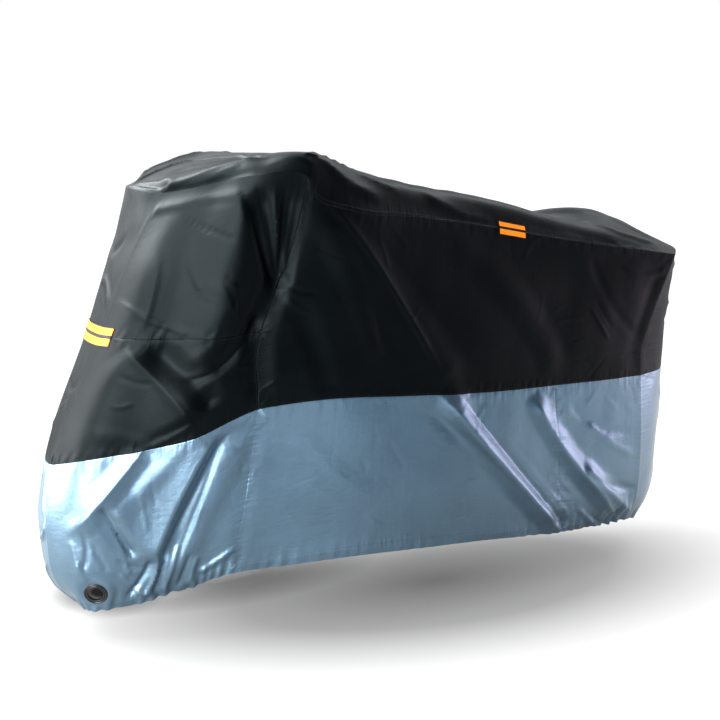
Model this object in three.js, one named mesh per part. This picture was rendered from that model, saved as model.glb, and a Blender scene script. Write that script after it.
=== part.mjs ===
// Fitted storage cover of coated cloth: black upper, silver lower band, elastic hem.
// Millimetres, +Z up, nose towards -X, left side towards -Y.
import * as THREE from 'three';

// Driving dimensions.
const CLOTH = 2;
const HEM_WALL = 3;
const HEM_FOLD = 30;
const SEAM_GAP = 0.3;
const CELL = 34;
const BAND_CELL = 42;
const UPPER_CELL = 85;
const GUSSET_CELLS = 6;
const TAPE = 1;
const TAPE_REACH = 28;
const TAPE_MARGIN = 22;
const NOSE_TAPE_WRAP = 45;
const HOLE_RADIUS = 24;
const BARREL_RADIUS = 22.3;
const RING_BORE = 20.5;
const RING_RADIUS = 32.5;
const FLAT_RADIUS = 36;
const FLAT_SINK = 2.5;
const PATCH_SPLITS = 3;
const RING_SEGMENTS = 24;
const CARRIER_TOP = 1192;
const KEY_STEPS = 20;
const KEY_SHIFT = 0.137;
const FOLD_STEPS = 16;
const FOLD_END = { share: 0.18, start: 0.15 };
const GATHER = { depth: 5, pitch: 97, reach: 95, noseEnd: 560, tailStart: 1700, fade: 300 };
const SWELL = { depth: 3, pitchX: 410, pitchZ: 330, slantX: 260, slantZ: 190, sideShift: 90, fade: 60 };
const TOP_HALF = 430;
const TOP_SHOULDER = 340;
const TOP_INNER = 190;
const NOSE_BULGE = 2;
const TAIL_BULGE = 2.6;

// Heights of the levels along the cloth, from the hem up to the top gusset seam.
const LEVEL = { hem: 0, cuff: 75, band: 250, join: 460, waist: 830, shoulder: 1060, brow: 1150, seam: 1220 };
const LEVELS = Object.keys(LEVEL);

// Half sections round the skirt. u is the girth from the nose centre line;
// each level gives x along the cover, y half width and z above the ground.
const SECTIONS = [
  { name: 'noseSeam', u: 60, hem: [-972, 45, 85], cuff: [-1024, 50, 135], band: [-1060, 55, 290],
    join: [-1034, 55, 485], waist: [-900, 85, 826], shoulder: [-822, 110, 1035], brow: [-782, 132, 1125],
    seam: [-742, 150, 1200] },
  { name: 'frontFold', u: 150, hem: [-968, 104, 84], cuff: [-990, 118, 140], band: [-1003, 135, 290],
    join: [-982, 140, 508], waist: [-862, 162, 828], shoulder: [-790, 184, 1035], brow: [-742, 195, 1128],
    seam: [-690, 207, 1212] },
  { name: 'lockSide', u: 310, hem: [-838, 150, 99], cuff: [-846, 165, 158], band: [-850, 195, 312],
    join: [-840, 215, 538], waist: [-760, 237, 830], shoulder: [-700, 255, 1040], brow: [-662, 262, 1140],
    seam: [-625, 271, 1230] },
  { name: 'fork', u: 450, hem: [-715, 168, 128], cuff: [-725, 190, 188], band: [-715, 230, 342],
    join: [-722, 284, 572], waist: [-650, 306, 836], shoulder: [-606, 330, 1050], brow: [-585, 340, 1150],
    seam: [-560, 350, 1248] },
  { name: 'barSeam', u: 630, hem: [-598, 228, 172], cuff: [-592, 243, 240], band: [-570, 272, 395],
    join: [-548, 310, 640], waist: [-535, 318, 844], shoulder: [-460, 341, 1060], brow: [-446, 367, 1150],
    seam: [-436, 396, 1243] },
  { name: 'barBack', u: 705, hem: [-522, 252, 182], cuff: [-520, 260, 250], band: [-503, 285, 405],
    join: [-486, 318, 648], waist: [-474, 326, 846], shoulder: [-428, 350, 1040], brow: [-414, 372, 1118],
    seam: [-404, 390, 1192] },
  { name: 'knee', u: 820, hem: [-395, 285, 193], cuff: [-395, 290, 265], band: [-385, 305, 420],
    join: [-368, 330, 655], waist: [-345, 340, 840], shoulder: [-322, 358, 1010], brow: [-312, 370, 1082],
    seam: [-300, 380, 1160] },
  { name: 'seatFront', u: 1080, hem: [-130, 300, 192], cuff: [-130, 302, 265], band: [-125, 310, 420],
    join: [-120, 322, 642], waist: [-115, 330, 830], shoulder: [-110, 335, 1000], brow: [-108, 335, 1068],
    seam: [-105, 335, 1138] },
  { name: 'seatRear', u: 1380, hem: [175, 280, 174], cuff: [175, 283, 245], band: [178, 290, 400],
    join: [180, 295, 623], waist: [180, 296, 800], shoulder: [182, 286, 965], brow: [184, 278, 1032],
    seam: [185, 270, 1097] },
  { name: 'rearJoin', u: 1660, hem: [474, 225, 142], cuff: [468, 235, 210], band: [440, 248, 380],
    join: [415, 257, 616], waist: [425, 255, 780], shoulder: [440, 246, 925], brow: [446, 240, 989],
    seam: [450, 235, 1052] },
  { name: 'rack', u: 1850, hem: [650, 165, 120], cuff: [655, 185, 180], band: [645, 215, 360],
    join: [625, 226, 610], waist: [640, 225, 760], shoulder: [668, 218, 900], brow: [680, 213, 958],
    seam: [690, 208, 1016] },
  { name: 'tailSeam', u: 2020, hem: [815, 115, 108], cuff: [822, 140, 168], band: [808, 178, 350],
    join: [788, 190, 606], waist: [800, 190, 735], shoulder: [855, 187, 868], brow: [885, 184, 928],
    seam: [912, 180, 984] },
];

// Centre line of the skirt at the nose and at the tail.
const NOSE_LINE = { hem: [-984, 0, 83], cuff: [-1032, 0, 135], band: [-1066, 0, 290], join: [-1042, 0, 482],
  waist: [-908, 0, 826], shoulder: [-840, 0, 1035], brow: [-812, 0, 1125] };
const TAIL_LINE = { hem: [898, 0, 92], cuff: [945, 0, 155], band: [962, 0, 350], join: [974, 0, 605],
  waist: [980, 0, 735], shoulder: [986, 0, 870], brow: [987, 0, 935] };

// Cross sections of the top gusset: taut edge, inner point and ridge, each x, half width y, z.
const TOP_SECTIONS = {
  noseSeam: { edge: [-768, 112, 1208], inner: [-784, 58, 1214], ridge: [-791, 0, 1216] },
  frontFold: { edge: [-698, 178, 1234], inner: [-708, 90, 1243], ridge: [-712, 0, 1246] },
  lockSide: { edge: [-628, 250, 1255], inner: [-636, 125, 1267], ridge: [-640, 0, 1270] },
  fork: { edge: [-548, 328, 1277], inner: [-548, 165, 1288], ridge: [-548, 0, 1290] },
  barSeam: { edge: [-440, 388, 1297], inner: [-440, 190, 1301], ridge: [-440, 0, 1301] },
  barBack: { edge: [-390, 378, 1286], inner: [-390, 188, 1289], ridge: [-390, 0, 1289] },
  knee: { edge: [-300, 345, 1256], inner: [-300, 175, 1257], ridge: [-300, 0, 1257] },
  seatFront: { edge: [-105, 300, 1212], inner: [-105, 150, 1214], ridge: [-105, 0, 1214] },
  seatRear: { edge: [185, 243, 1164], inner: [185, 125, 1171], ridge: [185, 0, 1171] },
  rearJoin: { edge: [450, 205, 1103], inner: [455, 105, 1116], ridge: [458, 0, 1119] },
  rack: { edge: [692, 185, 1048], inner: [700, 100, 1100], ridge: [706, 0, 1122] },
  tailSeam: { edge: [945, 140, 995], inner: [972, 74, 1006], ridge: [980, 0, 1010] },
};
const ACROSS = [-TOP_HALF, -TOP_SHOULDER, -TOP_INNER, 0, TOP_INNER, TOP_SHOULDER, TOP_HALF];

// Folds of a side, each a soft ridge (height over 0) or trough (under 0) along a line in
// x and z that runs downwards; fore and aft are its two slopes' widths.
const LEFT_FOLDS = [
  { line: [[-425, 1215], [-140, 885], [60, 650]], height: 10, fore: 90, aft: 75 },
  { line: [[-596, 1235], [-596, 1083], [-603, 925]], height: 8, fore: 140, aft: 40 },
  { line: [[-600, 925], [-659, 853], [-740, 613]], height: 11, fore: 90, aft: 50 },
  { line: [[-556, 1215], [-530, 1082], [-485, 945]], height: -20, fore: 40, aft: 40 },
  { line: [[-480, 1210], [-474, 1080], [-485, 950]], height: -11, fore: 36, aft: 36 },
  { line: [[-485, 975], [-546, 851], [-545, 650]], height: -13, fore: 48, aft: 62 },
  { line: [[-536, 898], [-610, 805], [-740, 723]], height: -9, fore: 42, aft: 40 },
  { line: [[-862, 806], [-780, 712], [-716, 618]], height: 14, fore: 190, aft: 56 },
  { line: [[-812, 806], [-722, 728], [-672, 650]], height: -13, fore: 46, aft: 60 },
  { line: [[-835, 540], [-895, 455], [-1012, 298]], height: 11, fore: 46, aft: 40 },
  { line: [[-772, 515], [-858, 417], [-906, 350]], height: 4, fore: 50, aft: 50 },
  { line: [[-937, 392], [-905, 319], [-850, 235]], height: -8, fore: 34, aft: 34 },
  { line: [[-665, 590], [-748, 395], [-815, 215]], height: 10, fore: 90, aft: 32 },
  { line: [[-632, 586], [-712, 400], [-768, 215]], height: -10, fore: 34, aft: 36 },
  { line: [[-585, 580], [-655, 395], [-748, 160]], height: 4, fore: 40, aft: 48 },
  { line: [[-550, 619], [-570, 400], [-595, 175]], height: -4, fore: 34, aft: 34 },
  { line: [[-7, 650], [208, 398], [468, 150]], height: 25, fore: 48, aft: 84 },
  { line: [[54, 640], [296, 364], [505, 145]], height: -9, fore: 38, aft: 36 },
  { line: [[325, 600], [470, 396], [731, 140]], height: 15, fore: 44, aft: 62 },
  { line: [[533, 360], [674, 241], [830, 120]], height: 13, fore: 46, aft: 50 },
  { line: [[875, 950], [805, 842], [765, 715]], height: -3, fore: 44, aft: 40 },
];
const RIGHT_FOLDS = [
  { line: [[-430, 1215], [-230, 930], [-40, 660]], height: 8, fore: 50, aft: 60 },
  { line: [[-600, 1205], [-585, 1060], [-610, 900]], height: 11, fore: 90, aft: 50 },
  { line: [[-520, 1200], [-500, 1060], [-500, 930]], height: -10, fore: 40, aft: 44 },
  { line: [[-495, 960], [-560, 820], [-560, 640]], height: -11, fore: 52, aft: 60 },
  { line: [[-850, 780], [-780, 690], [-700, 590]], height: 12, fore: 56, aft: 44 },
  { line: [[-790, 540], [-880, 430], [-985, 290]], height: 12, fore: 46, aft: 44 },
  { line: [[-650, 590], [-720, 410], [-800, 200]], height: 17, fore: 52, aft: 44 },
  { line: [[-600, 590], [-680, 400], [-740, 190]], height: -9, fore: 36, aft: 38 },
  { line: [[-60, 645], [120, 430], [330, 170]], height: 20, fore: 44, aft: 70 },
  { line: [[10, 640], [200, 420], [410, 160]], height: -9, fore: 40, aft: 36 },
  { line: [[260, 610], [430, 420], [640, 150]], height: 14, fore: 50, aft: 56 },
  { line: [[560, 590], [680, 400], [800, 170]], height: 9, fore: 44, aft: 44 },
  { line: [[870, 945], [800, 830], [755, 700]], height: -8, fore: 42, aft: 42 },
];

// Folds of the top gusset along a line in x and y that runs backwards; left and right are its slopes.
const TOP_FOLDS = [
  { line: [[-750, -130], [-660, -222], [-515, -338]], height: 8, left: 40, right: 46 },
  { line: [[-745, -20], [-630, -120], [-500, -210]], height: 4, left: 44, right: 50 },
  { line: [[-735, 100], [-610, 220], [-490, 335]], height: 8, left: 50, right: 46 },
  { line: [[-700, -70], [-580, -190], [-450, -250]], height: -5, left: 40, right: 40 },
  { line: [[-420, -290], [-250, -215], [-60, -190]], height: 6, left: 45, right: 45 },
  { line: [[-420, 250], [-260, 205], [-40, 120]], height: 7, left: 50, right: 45 },
  { line: [[-390, -60], [-180, -20], [60, 30]], height: -6, left: 70, right: 70 },
  { line: [[330, -120], [480, -60], [620, -90]], height: -5, left: 50, right: 50 },
  { line: [[500, 120], [640, 60], [780, 80]], height: -5, left: 45, right: 45 },
];

const COLOURS = {
  black: { color: 0x15181b, roughness: 0.55, metalness: 0 },
  silver: { color: 0x8fa0ae, roughness: 0.42, metalness: 0.25 },
  ring: { color: 0x121212, roughness: 0.35, metalness: 0.1 },
  tape: { color: 0xf09a3a, roughness: 0.4, metalness: 0 },
};

// Weights of the four neighbours of place t in an uneven row of knots, on a smooth cubic.
function cubicWeights(knots, t) {
  const last = knots.length - 1;
  let i = 0;
  while (i < last - 1 && t >= knots[i + 1]) i += 1;
  const step = knots[i + 1] - knots[i];
  const s = (t - knots[i]) / step;
  const start = 2 * s ** 3 - 3 * s ** 2 + 1;
  const end = 1 - start;
  const leave = s ** 3 - 2 * s ** 2 + s;
  const arrive = s ** 3 - s ** 2;
  const weights = new Map([[i, start], [i + 1, end]]);
  const add = (index, value) => weights.set(index, (weights.get(index) ?? 0) + value);
  const slope = (at, factor) => {
    if (at === 0 || at === last) {
      const inner = at === 0 ? 1 : last - 1;
      const sign = at === 0 ? 1 : -1;
      const scale = factor * step * sign / Math.abs(knots[inner] - knots[at]);
      add(inner, scale);
      add(at, -scale);
      return;
    }
    const before = knots[at] - knots[at - 1];
    const after = knots[at + 1] - knots[at];
    const a = factor * step * after / (before + after) / before;
    const b = factor * step * before / (before + after) / after;
    add(at - 1, -a);
    add(at, a - b);
    add(at + 1, b);
  };
  slope(i, leave);
  slope(i + 1, arrive);
  return weights;
}

// Point of the smooth surface through a net of points, at place (s, t).
function onNet(net, rowKnots, columnKnots, s, t) {
  const point = new THREE.Vector3();
  for (const [row, rowWeight] of cubicWeights(rowKnots, s)) {
    for (const [column, columnWeight] of cubicWeights(columnKnots, t)) {
      point.addScaledVector(net[row][column], rowWeight * columnWeight);
    }
  }
  return point;
}

const sided = ([x, y, z], side) => new THREE.Vector3(x, y * side, z);
const smooth = (t) => {
  const c = Math.min(Math.max(t, 0), 1);
  return c * c * (3 - 2 * c);
};
const GIRTH = SECTIONS.map((section) => section.u);
const HEIGHTS = LEVELS.map((level) => LEVEL[level]);
const girthOf = (name) => SECTIONS.find((section) => section.name === name).u;

// Control nets: two sides, the nose and tail ends of the gusset, and its top.
const sideNet = (side) => SECTIONS.map((section) => LEVELS.map((level) => sided(section[level], side)));
function topRow(name) {
  const { edge, inner, ridge } = TOP_SECTIONS[name];
  const seam = SECTIONS.find((section) => section.name === name).seam;
  return [sided(seam, -1), sided(edge, -1), sided(inner, -1), sided(ridge, 1),
    sided(inner, 1), sided(edge, 1), sided(seam, 1)];
}
const topNet = SECTIONS.map((section) => topRow(section.name));

// An end row runs from seam to seam through the centre line; bulge rounds it.
function endNet(name, centreLine, bulge) {
  const section = SECTIONS.find((row) => row.name === name);
  return LEVELS.map((level) => {
    if (level === 'seam') return topRow(name);
    const [sx, sy, sz] = section[level];
    const [cx, , cz] = centreLine[level];
    return ACROSS.map((place) => {
      const t = place / TOP_HALF;
      const pull = Math.abs(t) ** bulge;
      return new THREE.Vector3(cx + (sx - cx) * pull, sy * t, cz + (sz - cz) * pull);
    });
  });
}

// Height of a fold table at a point of its plane.
function foldHeight(folds, p, q, sides) {
  let sum = 0;
  for (const fold of folds) {
    const [a, b, c] = fold.line;
    let best = { distance: Infinity };
    let before = a;
    for (let k = 1; k <= FOLD_STEPS; k += 1) {
      const t = k / FOLD_STEPS;
      const after = [0, 1].map((i) => 2 * (t - 0.5) * (t - 1) * a[i] + 4 * t * (1 - t) * b[i]
        + 2 * t * (t - 0.5) * c[i]);
      const along = [after[0] - before[0], after[1] - before[1]];
      const length = Math.hypot(...along);
      const place = ((p - before[0]) * along[0] + (q - before[1]) * along[1]) / length;
      const held = Math.min(Math.max(place, 0), length);
      const offX = p - before[0] - along[0] * held / length;
      const offY = q - before[1] - along[1] * held / length;
      const distance = Math.hypot(offX, offY);
      if (distance < best.distance) {
        const left = along[0] * offY - along[1] * offX > 0;
        best = { distance, left, t: (k - 1 + held / length) / FOLD_STEPS };
      }
      before = after;
    }
    const width = best.left ? fold[sides[0]] : fold[sides[1]];
    const across = best.distance / width;
    if (across < 1) {
      const fade = (t) => smooth(t / FOLD_END.share + FOLD_END.start);
      sum += fold.height * fade(best.t) * fade(1 - best.t) * (1 - smooth(across));
    }
  }
  return sum;
}

// Displaced point of a patch: the smooth surface plus its folds along the normal.
function drapedPoint(patch, s, t) {
  const step = 1;
  const point = onNet(patch.net, patch.rows, patch.columns, s, t);
  const push = patch.height(point, s, t);
  if (push === 0) return point;
  const rowEnd = patch.rows[patch.rows.length - 1];
  const columnEnd = patch.columns[patch.columns.length - 1];
  const sStep = s + step > rowEnd ? -step : step;
  const tStep = t + step > columnEnd ? -step : step;
  const ds = onNet(patch.net, patch.rows, patch.columns, s + sStep, t).sub(point).multiplyScalar(sStep);
  const dt = onNet(patch.net, patch.rows, patch.columns, s, t + tStep).sub(point).multiplyScalar(tStep);
  const normal = ds.cross(dt).normalize().multiplyScalar(patch.turn);
  return point.addScaledVector(normal, push);
}

const TURN = 2 * Math.PI;
const swell = (x, z) => SWELL.depth * Math.sin(x / SWELL.pitchX * TURN + z / SWELL.slantZ)
  * Math.cos(z / SWELL.pitchZ * TURN + x / SWELL.slantX);

function sidePatch(side, folds) {
  const first = GIRTH[0];
  const last = GIRTH[GIRTH.length - 1];
  return {
    net: sideNet(side), rows: GIRTH, columns: HEIGHTS, turn: side < 0 ? 1 : -1,
    height: (point, u, v) => {
      const edge = Math.min(u - first, last - u, LEVEL.seam - v);
      if (edge <= 0) return 0;
      const calm = smooth((u - GATHER.noseEnd) / GATHER.fade) * smooth((GATHER.tailStart - u) / GATHER.fade);
      const depth = GATHER.depth * (1 - calm) * smooth(1 - v / GATHER.reach);
      const body = foldHeight(folds, point.x, point.z, ['aft', 'fore'])
        + swell(point.x + side * SWELL.sideShift, point.z);
      return (body + depth * Math.sin(u / GATHER.pitch * TURN)) * smooth(edge / SWELL.fade);
    },
  };
}
const noFolds = () => 0;
const PATCHES = {
  left: sidePatch(-1, LEFT_FOLDS),
  right: sidePatch(1, RIGHT_FOLDS),
  nose: { net: endNet('noseSeam', NOSE_LINE, NOSE_BULGE), rows: HEIGHTS, columns: ACROSS, turn: 1,
    height: noFolds },
  tail: { net: endNet('tailSeam', TAIL_LINE, TAIL_BULGE), rows: HEIGHTS, columns: ACROSS, turn: -1,
    height: noFolds },
  top: { net: topNet, rows: GIRTH, columns: ACROSS, turn: 1,
    height: (point, u, w) => {
      const edge = Math.min(u - GIRTH[0], GIRTH[GIRTH.length - 1] - u, TOP_HALF - Math.abs(w));
      if (edge <= 0) return 0;
      return foldHeight(TOP_FOLDS, point.x, point.y, ['left', 'right']) * smooth(edge / SWELL.fade);
    } },
};

// Sampling lines: every named break is a line, with even steps of at most the cell between.
function lines(breaks, cell) {
  const out = [breaks[0]];
  for (let i = 1; i < breaks.length; i += 1) {
    const span = breaks[i] - breaks[i - 1];
    const steps = Math.max(1, Math.round(span / cell));
    for (let k = 1; k <= steps; k += 1) out.push(breaks[i - 1] + span * k / steps);
  }
  return out;
}
const LOCK = { from: 152, to: 246, top: 128, lift: 5 };
const SIDE_TAPE = { from: 1402, to: 1508 };
const NOSE_TAPE = { bottom: LEVEL.waist - TAPE_REACH, top: LEVEL.waist + TAPE_REACH,
  wrap: girthOf('noseSeam') + NOSE_TAPE_WRAP };
const U_LINES = lines([girthOf('noseSeam'), NOSE_TAPE.wrap, LOCK.from, LOCK.to, girthOf('barSeam'),
  girthOf('seatFront'), SIDE_TAPE.from, SIDE_TAPE.to, girthOf('rearJoin'), girthOf('tailSeam')], CELL);
const V_LINES = [...lines([LEVEL.hem, HEM_FOLD, LOCK.top, LEVEL.join], BAND_CELL),
  ...lines([LEVEL.join, NOSE_TAPE.bottom, LEVEL.waist, NOSE_TAPE.top, LEVEL.seam - TAPE_MARGIN,
    LEVEL.seam], UPPER_CELL).slice(1)];
const W_LINES = lines([-TOP_HALF, TAPE_MARGIN - TOP_HALF, TOP_HALF - TAPE_MARGIN, TOP_HALF],
  2 * TOP_HALF / GUSSET_CELLS);

// Panel that each cell of a patch belongs to.
function sidePanel(name, u, v) {
  if (v < LEVEL.join) {
    if (u > LOCK.from && u < LOCK.to && v < LOCK.top) return `lock_patch_${name}`;
    if (u < girthOf('barSeam')) return `silver_front_${name}`;
    return u < girthOf('rearJoin') ? `silver_middle_${name}` : `silver_rear_${name}`;
  }
  if (u > girthOf('barSeam')) return `black_side_${name}`;
  return v < LEVEL.waist ? `black_front_lower_${name}` : `black_front_upper_${name}`;
}
function topPanel(u) {
  if (u < girthOf('barSeam')) return 'black_top_front';
  if (u < girthOf('seatFront')) return 'black_top_middle';
  return u < girthOf('rearJoin') ? 'black_top_seat' : 'black_top_rear';
}
const PANEL_OF = {
  left: (u, v) => sidePanel('left', u, v),
  right: (u, v) => sidePanel('right', u, v),
  nose: (v) => (v < LEVEL.join ? 'silver_nose_gusset' : 'black_nose_gusset'),
  tail: (v) => (v < LEVEL.join ? 'silver_tail_gusset' : 'black_tail_gusset'),
  top: topPanel,
};
const GRID = {
  left: [U_LINES, V_LINES], right: [U_LINES, V_LINES], nose: [V_LINES, W_LINES],
  tail: [V_LINES, W_LINES], top: [U_LINES, W_LINES],
};

// One shared mesh of the cover's outer face, so that panels meet on the same points.
const cover = { points: [], hem: [], faces: [], cells: new Map() };
const seen = new Map();
function pointIndex(point, onHem) {
  const key = [point.x, point.y, point.z].map((value) => Math.round(value * KEY_STEPS + KEY_SHIFT)).join(' ');
  if (!seen.has(key)) {
    seen.set(key, cover.points.length);
    cover.points.push(point);
    cover.hem.push(onHem);
  }
  return seen.get(key);
}
for (const [name, patch] of Object.entries(PATCHES)) {
  const [rows, columns] = GRID[name];
  const hemAt = (s, t) => ({ left: t, right: t, nose: s, tail: s, top: HEM_FOLD + 1 }[name]);
  const indexOf = (s, t) => pointIndex(drapedPoint(patch, s, t), hemAt(s, t) < HEM_FOLD);
  const index = rows.map((s) => columns.map((t) => indexOf(s, t)));
  for (let i = 0; i < rows.length - 1; i += 1) {
    for (let j = 0; j < columns.length - 1; j += 1) {
      const s = (rows[i] + rows[i + 1]) / 2;
      const t = (columns[j] + columns[j + 1]) / 2;
      const corner = [index[i][j], index[i + 1][j], index[i + 1][j + 1], index[i][j + 1]];
      if (patch.turn < 0) corner.reverse();
      const middle = drapedPoint(patch, s, t);
      const miss = (a, b) => cover.points[corner[a]].clone().add(cover.points[corner[b]])
        .multiplyScalar(0.5).distanceTo(middle);
      const split = miss(0, 2) <= miss(1, 3) ? [[0, 1, 2], [0, 2, 3]] : [[1, 2, 3], [1, 3, 0]];
      const panel = PANEL_OF[name](s, t);
      for (const triangle of split) {
        cover.faces.push({ panel, patch: name, s, t, corners: triangle.map((k) => corner[k]) });
      }
    }
  }
}
const normals = cover.points.map(() => new THREE.Vector3());
for (const { corners } of cover.faces) {
  const [a, b, c] = corners.map((k) => cover.points[k]);
  const area = b.clone().sub(a).cross(c.clone().sub(a));
  for (const k of corners) normals[k].add(area);
}
normals.forEach((normal) => normal.normalize());

// Border loop of a set of faces, as point numbers in order.
function borderLoops(faces) {
  const next = new Map();
  const used = new Set(faces.flatMap(({ corners: [a, b, c] }) => [`${a} ${b}`, `${b} ${c}`, `${c} ${a}`]));
  for (const edge of used) {
    const [a, b] = edge.split(' ').map(Number);
    if (!used.has(`${b} ${a}`)) next.set(a, b);
  }
  const loops = [];
  while (next.size) {
    const loop = [next.keys().next().value];
    while (next.has(loop[loop.length - 1])) {
      const at = loop[loop.length - 1];
      loop.push(next.get(at));
      next.delete(at);
    }
    loop.pop();
    loops.push(loop);
  }
  return loops;
}

// How far each border point draws back into its own panel, for the gap of the seam.
function seamPull(loops) {
  const pull = new Map();
  for (const loop of loops) {
    loop.forEach((at, k) => {
      const normal = normals[at];
      const before = loop[(k + loop.length - 1) % loop.length];
      const after = loop[(k + 1) % loop.length];
      const inward = (from, to) => normal.clone()
        .cross(cover.points[to].clone().sub(cover.points[from])).normalize();
      const a = inward(before, at);
      const b = inward(at, after);
      pull.set(at, a.add(b).multiplyScalar(SEAM_GAP / 2 / (1 + a.clone().sub(b).dot(b))));
    });
  }
  return pull;
}

// Closed slab between an outer and an inner skin over the same faces. rank settles which way
// each quad of the side walls is split, so that two panels split their common seam alike.
function slab(outer, inner, faces, loops, rank) {
  const count = outer.length;
  const position = [...outer, ...inner].flatMap((point) => point.toArray());
  const index = [];
  for (const [a, b, c] of faces) index.push(a, b, c, a + count, c + count, b + count);
  for (const loop of loops) {
    loop.forEach((a, k) => {
      const b = loop[(k + 1) % loop.length];
      if (rank[a] < rank[b]) index.push(b, a, b + count, a, a + count, b + count);
      else index.push(b, a, a + count, b, a + count, b + count);
    });
  }
  const geometry = new THREE.BufferGeometry();
  geometry.setAttribute('position', new THREE.Float32BufferAttribute(position, 3));
  geometry.setIndex(index);
  return geometry;
}

// Slab over a set of cover faces, between two depths under the outer face.
function sheet(faces, raised, wall) {
  const loops = borderLoops(faces);
  const pull = seamPull(loops);
  const numbers = [...new Set(faces.flatMap((face) => face.corners))];
  const local = new Map(numbers.map((at, k) => [at, k]));
  const place = (at, depth) => cover.points[at].clone().add(pull.get(at) ?? new THREE.Vector3())
    .addScaledVector(normals[at], -depth);
  const outer = numbers.map((at) => place(at, -raised));
  const inner = numbers.map((at) => place(at, (cover.hem[at] ? wall.hem : wall.body) - raised));
  return slab(outer, inner, faces.map(({ corners }) => corners.map((at) => local.get(at))),
    loops.map((loop) => loop.map((at) => local.get(at))), numbers);
}
const clothWall = { hem: HEM_WALL, body: CLOTH };
const tapeWall = { hem: TAPE, body: TAPE };
const facesOf = (panel) => cover.faces.filter((face) => face.panel === panel);

const group = new THREE.Group();
const materials = Object.fromEntries(Object.entries(COLOURS)
  .map(([name, values]) => [name, new THREE.MeshStandardMaterial(values)]));
function addMesh(name, geometry, material) {
  const mesh = new THREE.Mesh(geometry, materials[material]);
  mesh.name = name;
  group.add(mesh);
  return mesh;
}

for (const panel of new Set(cover.faces.map((face) => face.panel))) {
  if (panel.startsWith('lock_patch')) continue;
  addMesh(panel, sheet(facesOf(panel), 0, clothWall), panel.startsWith('black') ? 'black' : 'silver');
}

// The lock patch runs from its seam to a flat round the hole that the eyelet lines.
const RING = { back: -4.3, round: 1.5, edge: 0.6, crown: 4, valley: 6.5, lip: 3, groove: 2.2, rise: 3.3 };
const RING_UNDER = -CLOTH - SEAM_GAP;
const RING_PROFILE = [
  [RING_BORE, RING.back], [RING_RADIUS - RING.round, RING.back], [RING_RADIUS - RING.edge, RING_UNDER],
  [BARREL_RADIUS, RING_UNDER], [BARREL_RADIUS, SEAM_GAP], [RING_RADIUS, SEAM_GAP],
  [RING_RADIUS - RING.edge, RING.groove], [RING_RADIUS - RING.crown, RING.rise],
  [RING_RADIUS - RING.valley, RING.groove], [RING_BORE + RING.lip, RING.rise],
  [RING_BORE + RING.edge, RING.groove], [RING_BORE, SEAM_GAP],
];
function lockPatch(side) {
  const faces = facesOf(`lock_patch_${side}`);
  const loops = borderLoops(faces);
  const pull = seamPull(loops);
  const middle = drapedPoint(PATCHES[side], (LOCK.from + LOCK.to) / 2, LOCK.top / 2 + LOCK.lift);
  const normal = new THREE.Vector3();
  for (const at of loops[0]) normal.add(normals[at]);
  normal.normalize();
  middle.addScaledVector(normal, -FLAT_SINK);
  const right = new THREE.Vector3(0, 0, 1).cross(normal).normalize();
  const up = normal.clone().cross(right);
  const border = loops[0].flatMap((at, k) => {
    const next = loops[0][(k + 1) % loops[0].length];
    const wall = (n) => (cover.hem[n] ? HEM_WALL : CLOTH);
    const here = cover.points[at].clone().add(pull.get(at));
    const there = cover.points[next].clone().add(pull.get(next));
    const under = here.clone().addScaledVector(normals[at], -wall(at));
    const thereUnder = there.clone().addScaledVector(normals[next], -wall(next));
    return Array.from({ length: PATCH_SPLITS }, (_, step) => step / PATCH_SPLITS)
      .map((part) => [here.clone().lerp(there, part), under.clone().lerp(thereUnder, part)]);
  });
  const circle = (radius, depth) => border.map(([point]) => {
    const arm = point.clone().sub(middle);
    const angle = Math.atan2(arm.dot(up), arm.dot(right));
    return middle.clone().addScaledVector(right, radius * Math.cos(angle))
      .addScaledVector(up, radius * Math.sin(angle)).addScaledVector(normal, -depth);
  });
  const count = border.length;
  const outer = [...border.map(([point]) => point), ...circle(FLAT_RADIUS, 0), ...circle(HOLE_RADIUS, 0)];
  const inner = [...border.map(([, point]) => point), ...circle(FLAT_RADIUS, CLOTH),
    ...circle(HOLE_RADIUS, CLOTH)];
  const bands = [];
  for (const row of [0, count]) {
    for (let k = 0; k < count; k += 1) {
      const next = (k + 1) % count;
      bands.push([row + k, row + next, row + count + next], [row + k, row + count + next, row + count + k]);
    }
  }
  const rim = Array.from({ length: count }, (_, k) => k);
  addMesh(`lock_patch_${side}`, slab(outer, inner, bands, [rim, rim.map((k) => 3 * count - 1 - k)],
    outer.map((_, k) => k)), 'silver');

  const profile = RING_PROFILE.map(([radius, height]) => new THREE.Vector2(radius, height));
  const turned = new THREE.LatheGeometry([...profile, profile[0]], RING_SEGMENTS);
  const ring = addMesh(`eyelet_${side}`, turned, 'ring');
  ring.position.copy(middle);
  ring.quaternion.setFromUnitVectors(new THREE.Vector3(0, 1, 0), normal);
}
lockPatch('left');
lockPatch('right');

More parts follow.
